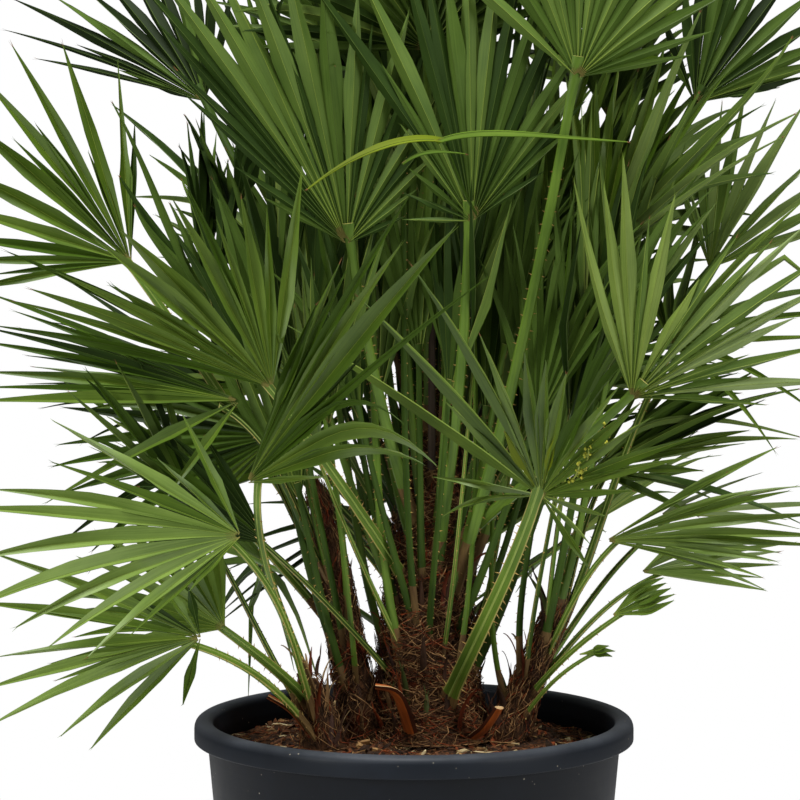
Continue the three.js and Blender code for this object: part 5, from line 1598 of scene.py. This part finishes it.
def stalk(heap, thorns, frond, dice):
    """A frond's stalk with its thorns."""
    line = bezier(stalk_points(frond), STALK_STATIONS)
    t = np.linspace(0, 1, STALK_STATIONS)
    _, side, _ = blade_axes(frond)
    ahead, across, normal = frames_along(line, side)
    size = min(1.0, frond["reach"] / STALK_FULL_REACH + STALK_LEAST_SIZE) * frond.get("stalk_size", 1.0)
    half = size * STALK_WIDTH / 2 * (1 + (STALK_TIP_SHARE - 1) * t)
    thick = half * STALK_THICKNESS / STALK_WIDTH
    half = half * (1 + 0.5 * np.clip(1 - t / 0.16, 0, 1) + 0.35 * np.clip((t - 0.93) / 0.07, 0, 1))
    thick = thick * (1 - 0.55 * np.clip((t - 0.93) / 0.07, 0, 1))
    skin = SHADED if frond["tint"] in SHADED_TINTS and dice.random() < SHADED_SKIN_CHANCE else GREEN
    young_on_trunk = frond["number"] >= YOUNG_FROM and frond["stem"] == "trunk"
    if young_on_trunk and dice.random() < PURPLE_SKIN_CHANCE:
        skin = PURPLE
    foot_stations = dice.choice((2, 3, 3, 4, 5))

    def finish(k, i):
        """The finish of one side of the section at one station."""
        if k < foot_stations:
            return BROWNED
        if i in MARGIN_SIDES:
            return MARGIN
        return RIDGE if i in RIDGE_SIDES and skin != PURPLE else skin

    swept_section(heap, line, across, normal, half, thick, STALK_SECTION, finish, dice.random())
    for sign in (-1, 1):
        run = np.concatenate([[0.0], np.linalg.norm(np.diff(line, axis=0), axis=1).cumsum()])
        place = run[-1] * THORNY_SHARE[0]
        while place < run[-1] * THORNY_SHARE[1]:
            where = np.interp(place, run, np.arange(STALK_STATIONS))
            k = int(where)
            edge = (line + across * (sign * half)[:, None])[k:k + 2]
            root = edge[0] + (edge[1] - edge[0]) * (where - k) + normal[k] * thick[k] * 0.1
            hooked = ahead[k] * dice.uniform(-0.5, 0.5)
            way = unit(across[k] * sign + hooked + normal[k] * dice.gauss(0, 0.25))
            length = size * dice.uniform(*THORN_LENGTH) * (1 - 0.5 * place / run[-1])
            thorn(thorns, root, way, length, THORN_BASE, ahead[k])
            place += dice.uniform(*THORN_SPACING)


stalks = new_heap()
thorns = new_heap()
for frond in fronds + young:
    stalk(stalks, thorns, frond, random.Random(STALK_SEEDS_FROM + frond["number"]))
joined_piece("leaf_stalks", stalks, STALK_FINISHES, smooth=40)
thorn_skin = plain_litter("horny_thorn", "#b99a55", "#7a5a2c", 0.5)
joined_piece("stalk_thorns", thorns, [thorn_skin])


# Spear: the youngest leaf, which rises from the trunk's tip with its leaflets still pressed together in
# pleats round its rib.

SPEAR_HEIGHT = 430
SPEAR_PROFILE = ((0, 6.6), (0.3, 7.0), (0.55, 8.8), (0.85, 6.0), (1, 0.6))
SPEAR_PLEATS = 9
SPEAR_PLEAT_DEPTH = 0.74
SPEAR_TWIST = 1.1
SPEAR_STATIONS = 30

spear = new_heap()
spear_foot = np.array(stem_at("trunk", stem_top("trunk"))[0]) + UP * SEAT_GAP
spear_line = spear_foot + np.linspace(0, SPEAR_HEIGHT, SPEAR_STATIONS)[:, None] * UP
spear_half = np.interp(
    np.linspace(0, 1, SPEAR_STATIONS), [p[0] for p in SPEAR_PROFILE], [p[1] for p in SPEAR_PROFILE])
pleats = []
for k in range(2 * SPEAR_PLEATS):
    turn = -math.pi * k / SPEAR_PLEATS
    away = 1 if k % 2 else SPEAR_PLEAT_DEPTH
    pleats.append((away * math.cos(turn), away * math.sin(turn)))
spear_turn = np.linspace(0, SPEAR_TWIST, SPEAR_STATIONS)
spear_across = np.stack([np.cos(spear_turn), np.sin(spear_turn), 0 * spear_turn], 1)
spear_normal = np.stack([-np.sin(spear_turn), np.cos(spear_turn), 0 * spear_turn], 1)
swept_section(
    spear, spear_line, spear_across, spear_normal, spear_half, spear_half, pleats, lambda k, i: i % 2)
joined_piece(
    "spear_leaf", spear, [
        leaf_cuticle("young_leaf_fold", "#6f8a32", "#4d661f", 0.5),
        leaf_cuticle("young_leaf_ridge", "#a3b068", "#7d8d48", 0.5)],
    smooth=30, replaced=["spear"])


# Old leaf bases: what is left on the stems of the stalks of dead leaves, split and torn at the end, rusty
# to purple brown. They stand round every stem, closest at the foot.

OLD_BASES = {"trunk": 96, "stem_left": 28, "stem_right": 22, "sucker_left": 12}
OLD_BASE_LENGTH = (16, 60)
OLD_BASE_WIDTH = (5, 12)
OLD_BASE_LEAN = (2, 20)
OLD_BASE_STATIONS = 7
OLD_BASE_HIGHEST = {"trunk": 0.62, "stem_left": 0.8, "stem_right": 1.0, "sucker_left": 1.0}
OLD_BASE_SEATED = 0.86
OLD_BASE_BOW = (-0.1, 0.28)
OLD_BASE_TOOTH = (4, 14)
OLD_BASE_FINISHES = [
    leaf_cuticle("dark_dead_leaf_base", "#4a3120", "#26180e", 0.8),
    leaf_cuticle("purple_dead_leaf_base", "#563a2e", "#2c1d18", 0.7),
    leaf_cuticle("rusty_dead_leaf_base", "#8f3f18", "#4d1f0c", 0.55),
    leaf_cuticle("tan_dead_leaf_base", "#8a6a42", "#4c351f", 0.8),
    leaf_cuticle("greenish_leaf_base", "#4a5526", "#2a3216", 0.6),
]
OLD_BASE_SHARES = [38, 22, 18, 8, 14]
base_dice = random.Random(37)


def old_base(heap, foot, way, outward, length, width, kind, dice):
    """A dead leaf base from its foot along a way, bowed outwards and split in two teeth at its end."""
    t = np.linspace(0, 1, OLD_BASE_STATIONS)
    bow = length * dice.uniform(*OLD_BASE_BOW) * t * t
    line = foot + way * (length * t)[:, None] + outward * bow[:, None]
    _, across, normal = frames_along(line, np.cross(UP, outward) + dice.gauss(0, 0.2) * UP)
    half = width / 2 * (1 - 0.45 * t) * (1 - 0.55 * np.clip((t - 0.8) / 0.2, 0, 1))
    swept_section(
        heap, line, across, normal, half, half * 0.5, STALK_SECTION, lambda k, i: kind, dice.random())
    for sign in (-1, 1):
        root = line[-1] + across[-1] * (sign * half[-1] * 0.6)
        tip = root + way * dice.uniform(*OLD_BASE_TOOTH) + across[-1] * (sign * dice.uniform(0, 4))
        tooth = strand_shape([root - way * 3, root, root * 0.4 + tip * 0.6, tip], half[-1] * 0.5, 4)
        gather(heap, *tooth, kind)


bases = new_heap()
for stem, count in OLD_BASES.items():
    tall = STEMS[stem][-1][0]
    for _ in range(count):
        rise = tall * OLD_BASE_HIGHEST[stem] * base_dice.random() ** 1.5
        turn = base_dice.uniform(0, math.tau)
        outward = np.array((math.cos(turn), math.sin(turn), 0.0))
        middle, radius = stem_at(stem, STEM_FOOT + 4 + rise)
        lean = math.radians(base_dice.uniform(*OLD_BASE_LEAN))
        way = UP * math.cos(lean) + outward * math.sin(lean)
        length = base_dice.uniform(*OLD_BASE_LENGTH) * (1 if stem == "trunk" else 0.7)
        width = base_dice.uniform(*OLD_BASE_WIDTH)
        kind = base_dice.choices(range(len(OLD_BASE_FINISHES)), OLD_BASE_SHARES)[0]
        foot = np.array(middle) + outward * radius * OLD_BASE_SEATED
        old_base(bases, foot, way, outward, length, width, kind, base_dice)
joined_piece("old_leaf_bases", bases, OLD_BASE_FINISHES, smooth=40)


# Cut leaf bases: three stout stalks that were cut off short, glossy orange brown with a pale cut end. Their
# feet grow out of the stems.

# Foot, head, width, and how far the middle bows
CUT_BASES = {
    "cut_base_front": ((-4, -60, 394), (-43, -106, 452), 17, (6, -24, 26)),
    "cut_base_right": ((66, -44, 384), (94, -92, 426), 16, (0, -10, -4)),
    "cut_base_left": ((-114, -80, 392), (-162, -88, 438), 15, (4, -6, 8)),
}
CUT_BASE_STATIONS = 12
CUT_SKIN, CUT_END, CUT_EDGE = range(3)
UNDER_EDGE_SIDES = (1, 8, 11)
CUT_BASE_FINISHES = [
    leaf_cuticle("glossy_cut_leaf_base", "#b5612a", "#6b2f13", 0.32),
    leaf_cuticle("pale_cut_end", "#d0b183", "#a1794a", 0.8),
    leaf_cuticle("dark_cut_base_edge", "#4c2412", "#2a120a", 0.5),
]


def cut_base_finish(k, i):
    """Pale at the cut end and along both margins, dark beside them, glossy brown elsewhere."""
    if k == CUT_BASE_STATIONS - 1 or i in MARGIN_SIDES:
        return CUT_END
    return CUT_EDGE if i in UNDER_EDGE_SIDES else CUT_SKIN


for name, (foot, head, width, bow) in CUT_BASES.items():
    stub = new_heap()
    foot, head = np.array(foot, float), np.array(head, float)
    bend = (foot + head) / 2 + np.array(bow)
    stub_line = bezier((foot, bend, bend, head), CUT_BASE_STATIONS)
    _, stub_across, stub_normal = frames_along(stub_line, np.cross(UP, (head - foot) * (1, 1, 0)))
    stub_half = width / 2 * np.linspace(1.15, 0.8, CUT_BASE_STATIONS)
    swept_section(
        stub, stub_line, stub_across, stub_normal, stub_half, stub_half * 0.55, STALK_SECTION,
        cut_base_finish)
    joined_piece(name + "_stub", stub, CUT_BASE_FINISHES, smooth=40, replaced=[name])


# Torn sheath strips round the stems' feet: thin curling ribbons, rust red, dark or cream, that still hang
# on the stems by their lower ends.

STRIPS = {"sucker_left": 15, "trunk": 22, "stem_right": 14}
STRIP_HIGHEST = {"sucker_left": 0.9, "trunk": 0.5, "stem_right": 0.9}
STRIP_LENGTH = (24, 66)
STRIP_LEAN = (0.15, 0.7)
STRIP_HALF = (1.4, 3.6)
STRIP_HALF_THICKNESS = 0.5
STRIP_CURL = 0.9
STRIP_STATIONS = 9
STRIP_SHARES = [55, 25, 20]
strips = new_heap()
strip_dice = random.Random(41)
for stem, count in STRIPS.items():
    for _ in range(count):
        rise = strip_dice.uniform(0, STRIP_HIGHEST[stem]) * STEMS[stem][-1][0]
        turn = strip_dice.uniform(0, math.tau)
        outward = np.array((math.cos(turn), math.sin(turn), 0.0))
        middle, radius = stem_at(stem, STEM_FOOT + 6 + rise)
        foot = np.array(middle) + outward * radius
        length = strip_dice.uniform(*STRIP_LENGTH)
        head = foot + UP * length * 0.7 + outward * length * strip_dice.uniform(*STRIP_LEAN)
        guides = (foot, foot + UP * length * 0.4, head - outward * length * 0.1, head)
        strip_line = bezier(guides, STRIP_STATIONS)
        strip_ahead, strip_across, strip_normal = frames_along(strip_line, np.cross(UP, outward))
        curl = np.linspace(0, strip_dice.gauss(0, STRIP_CURL), STRIP_STATIONS)
        strip_half = strip_dice.uniform(*STRIP_HALF) * np.linspace(1, 0.25, STRIP_STATIONS)
        kind = strip_dice.choices(range(3), STRIP_SHARES)[0]
        swept_section(
            strips, strip_line, turn_about(strip_across, strip_ahead, curl),
            turn_about(strip_normal, strip_ahead, curl), strip_half,
            np.full(STRIP_STATIONS, STRIP_HALF_THICKNESS), STALK_SECTION, lambda k, i: kind,
            strip_dice.random())
joined_piece("torn_sheath_strips", strips, [
    leaf_cuticle("rusty_sheath_strip", "#7c3616", "#431a0a", 0.65),
    leaf_cuticle("dark_sheath_strip", "#43291a", "#20120b", 0.8),
    leaf_cuticle("cream_sheath_strip", "#b3986a", "#7d6440", 0.8)], smooth=40)


# Single leaflets that stand out in the photograph, most of them of fronds whose hubs are hidden. Each is
# folded like the leaflets of the blades.

SINGLE_STATIONS = 15
SINGLE_FOLD = 0.45
# Groups: the way across, then each leaflet's four guiding points, half width and green
SINGLE_LEAFLETS = (
    # The bent leaflet in front of the upper fans, whose halves point left and right, two shorter
    # ones by it, and a short upright one over the right-hand stalks
    ((0.1, -0.75, -0.65), (
        ((66, -176, 968), (40, -200, 1010), (34, -226, 1046), (26, -230, 1044), 4.5, "deep"),
        ((28, -230, 1045), (-10, -240, 1052), (-60, -252, 1034), (-111, -260, 994), 5.5, "pale"),
        ((22, -230, 1043), (60, -236, 1060), (120, -246, 1050), (219, -252, 1042), 4.8, "lime"),
        ((-13, -240, 1020), (6, -242, 1036), (26, -240, 1034), (52, -240, 1030), 2.8, "lime"),
        ((97, -60, 708), (98, -64, 740), (103, -66, 760), (106, -62, 776), 6.5, "bright"),
    )),
    # At the upper right, above the fans there
    ((0.85, 0.4, -0.35), (
        ((206, -30, 918), (246, -79, 1014), (264, -98, 1089), (309, -110, 1188), 8.5, "bright"),
        ((206, -30, 918), (263, -71, 1000), (274, -74, 1032), (311, -85, 1102), 8, "mid"),
        ((206, -30, 918), (279, -75, 1021), (361, -105, 1080), (407, -120, 1159), 7, "mid"),
        ((206, -30, 918), (277, -93, 988), (322, -112, 1035), (409, -130, 1077), 6.5, "bright"),
        ((206, -30, 918), (263, -102, 959), (299, -115, 1002), (395, -135, 1052), 4.5, "bright"),
        ((206, -30, 918), (221, -20, 1008), (239, -10, 1058), (273, 0, 1180), 6.5, "deep"),
        ((206, -30, 918), (209, -17, 1013), (206, 4, 1053), (257, 10, 1147), 6, "mid"),
        ((157, 10, 922), (167, 20, 1032), (192, 30, 1063), (248, 40, 1161), 7, "deep"),
        ((157, 10, 922), (201, 34, 1003), (225, 43, 1075), (273, 60, 1127), 7, "dark"),
    )),
    # At the upper left, behind the fans there
    ((0.85, 0.4, -0.35), (
        ((-234, -40, 886), (-258, -50, 899), (-290, -60, 1018), (-332, -70, 1092), 5, "deep"),
        ((-234, -40, 886), (-189, -30, 951), (-236, -20, 1053), (-257, -10, 1081), 6, "dark"),
        ((-234, -40, 886), (-232, -37, 956), (-246, -26, 993), (-253, -30, 1071), 4.5, "deep"),
        ((-234, -40, 886), (-205, -47, 922), (-245, -68, 976), (-257, -60, 1008), 5.5, "mid"),
        ((-234, -40, 886), (-206, -30, 942), (-197, -20, 998), (-196, -10, 1055), 6.5, "dark"),
    )),
    # At the right, below the large fan there
    ((0.2, -0.55, -0.8), (
        ((213, 30, 680), (254, 38, 740), (309, 17, 772), (382, 10, 787), 5, "deep"),
        ((213, 30, 680), (270, 10, 712), (336, -10, 759), (431, -30, 775), 5.5, "mid"),
        ((213, 30, 680), (255, 28, 761), (346, -3, 744), (433, -20, 721), 4.5, "bright"),
        ((213, 30, 680), (251, 20, 659), (294, 10, 682), (326, 0, 681), 4, "mid"),
    )),
    # At the left, dark, in the gap between two fans
    ((0.85, 0.4, -0.35), (
        ((-224, -20, 858), (-254, -25, 908), (-297, -30, 961), (-328, -35, 1012), 7, "dark"),
        ((-224, -20, 858), (-241, -34, 900), (-289, -33, 931), (-311, -40, 979), 8, "deep"),
        ((-224, -20, 858), (-231, -29, 883), (-250, -23, 940), (-273, -25, 982), 7, "deep"),
    )),
)
singles, single_ribs = new_heap(), new_heap()
single_dice = random.Random(53)
single_t = np.linspace(0, 1, SINGLE_STATIONS)
for wanted, rows in SINGLE_LEAFLETS:
    for *guides, half, tint in rows:
        line = bezier([np.array(g, float) for g in guides], SINGLE_STATIONS)
        ahead, across, normal = frames_along(line, np.array(wanted))
        halves = half * np.interp(single_t, (0, 0.2, 0.5, 1), (0.7, 0.95, 1, 0.12))
        tip = line[-1] + ahead[-1] * 4
        number = 2 * GREEN_ORDER.index(tint)
        folded_strip(
            singles, line, across, normal, halves, np.full(SINGLE_STATIONS, SINGLE_FOLD),
            np.full(SINGLE_STATIONS, LEAF_THICKNESS), np.array([tip - across[-1], tip + across[-1]]),
            (number, number + 1, TIP), single_dice.random())
        rib_strand(
            single_ribs, line[:-1], across[:-1], normal[:-1], SINGLE_FOLD * halves[:-1],
            np.linspace(0.6, 0.25, SINGLE_STATIONS - 1), RIB + (tint in SHADED_TINTS))
joined_piece("single_leaflets", singles, LEAF_FINISHES, smooth=30)
joined_piece("single_leaflet_ribs", single_ribs, LEAF_FINISHES)


# Flowering branchlets: yellow-green beads of flower buds on four thin stalks, which lean out from among
# the leaf stalks at the right.

# Foot and tip of each
BRANCHLETS = (
    ((150, -200, 650), (176, -415, 752)), ((152, -198, 650), (187, -410, 758)),
    ((148, -198, 646), (160, -412, 722)), ((150, -196, 650), (168, -418, 738)))
BRANCHLET_RADIUS = 0.9
BRANCHLET_POINTS = 12
BUDS_EACH = 26
BUDS_FROM = 0.35
BUD_STRAY = 2.6
BUD_RADIUS = (1.2, 2.1)
BUD_ENDS = ((1, 0, 0), (0, 1, 0), (-1, 0, 0), (0, -1, 0), (0, 0, 1.2), (0, 0, -1.2))
BUD_FACES = [(0, 1, 4), (1, 2, 4), (2, 3, 4), (3, 0, 4), (1, 0, 5), (2, 1, 5), (3, 2, 5), (0, 3, 5)]
bud_dice = random.Random(61)
buds, branchlets = new_heap(), new_heap()
for low, high in BRANCHLETS:
    low, high = np.array(low, float), np.array(high, float)
    side = np.array((bud_dice.gauss(0, 6), bud_dice.gauss(0, 6), 0.0))
    branch = bezier((low, low + UP * 30 + side, high - UP * 20 + side, high), BRANCHLET_POINTS)
    gather(branchlets, *strand_shape(branch, BRANCHLET_RADIUS, 5), 0)
    last = BRANCHLET_POINTS - 1
    for _ in range(BUDS_EACH):
        along = bud_dice.uniform(BUDS_FROM, 1.0) * last
        k = int(along)
        spot = branch[k] + (branch[min(last, k + 1)] - branch[k]) * (along % 1)
        spot = spot + np.array([bud_dice.gauss(0, BUD_STRAY) for _ in range(3)])
        radius = bud_dice.uniform(*BUD_RADIUS)
        gather(buds, [spot + np.array(end) * radius for end in BUD_ENDS], BUD_FACES, 0)
bud_skin = plain_litter("flower_bud", "#b3ab3a", "#7f8a2c", 0.6)
joined_piece("flower_buds", buds, [bud_skin], smooth=80)
branchlet_skin = plain_litter("branchlet_skin", "#8a9440", "#667030", 0.6)
joined_piece("flower_branchlets", branchlets, [branchlet_skin])
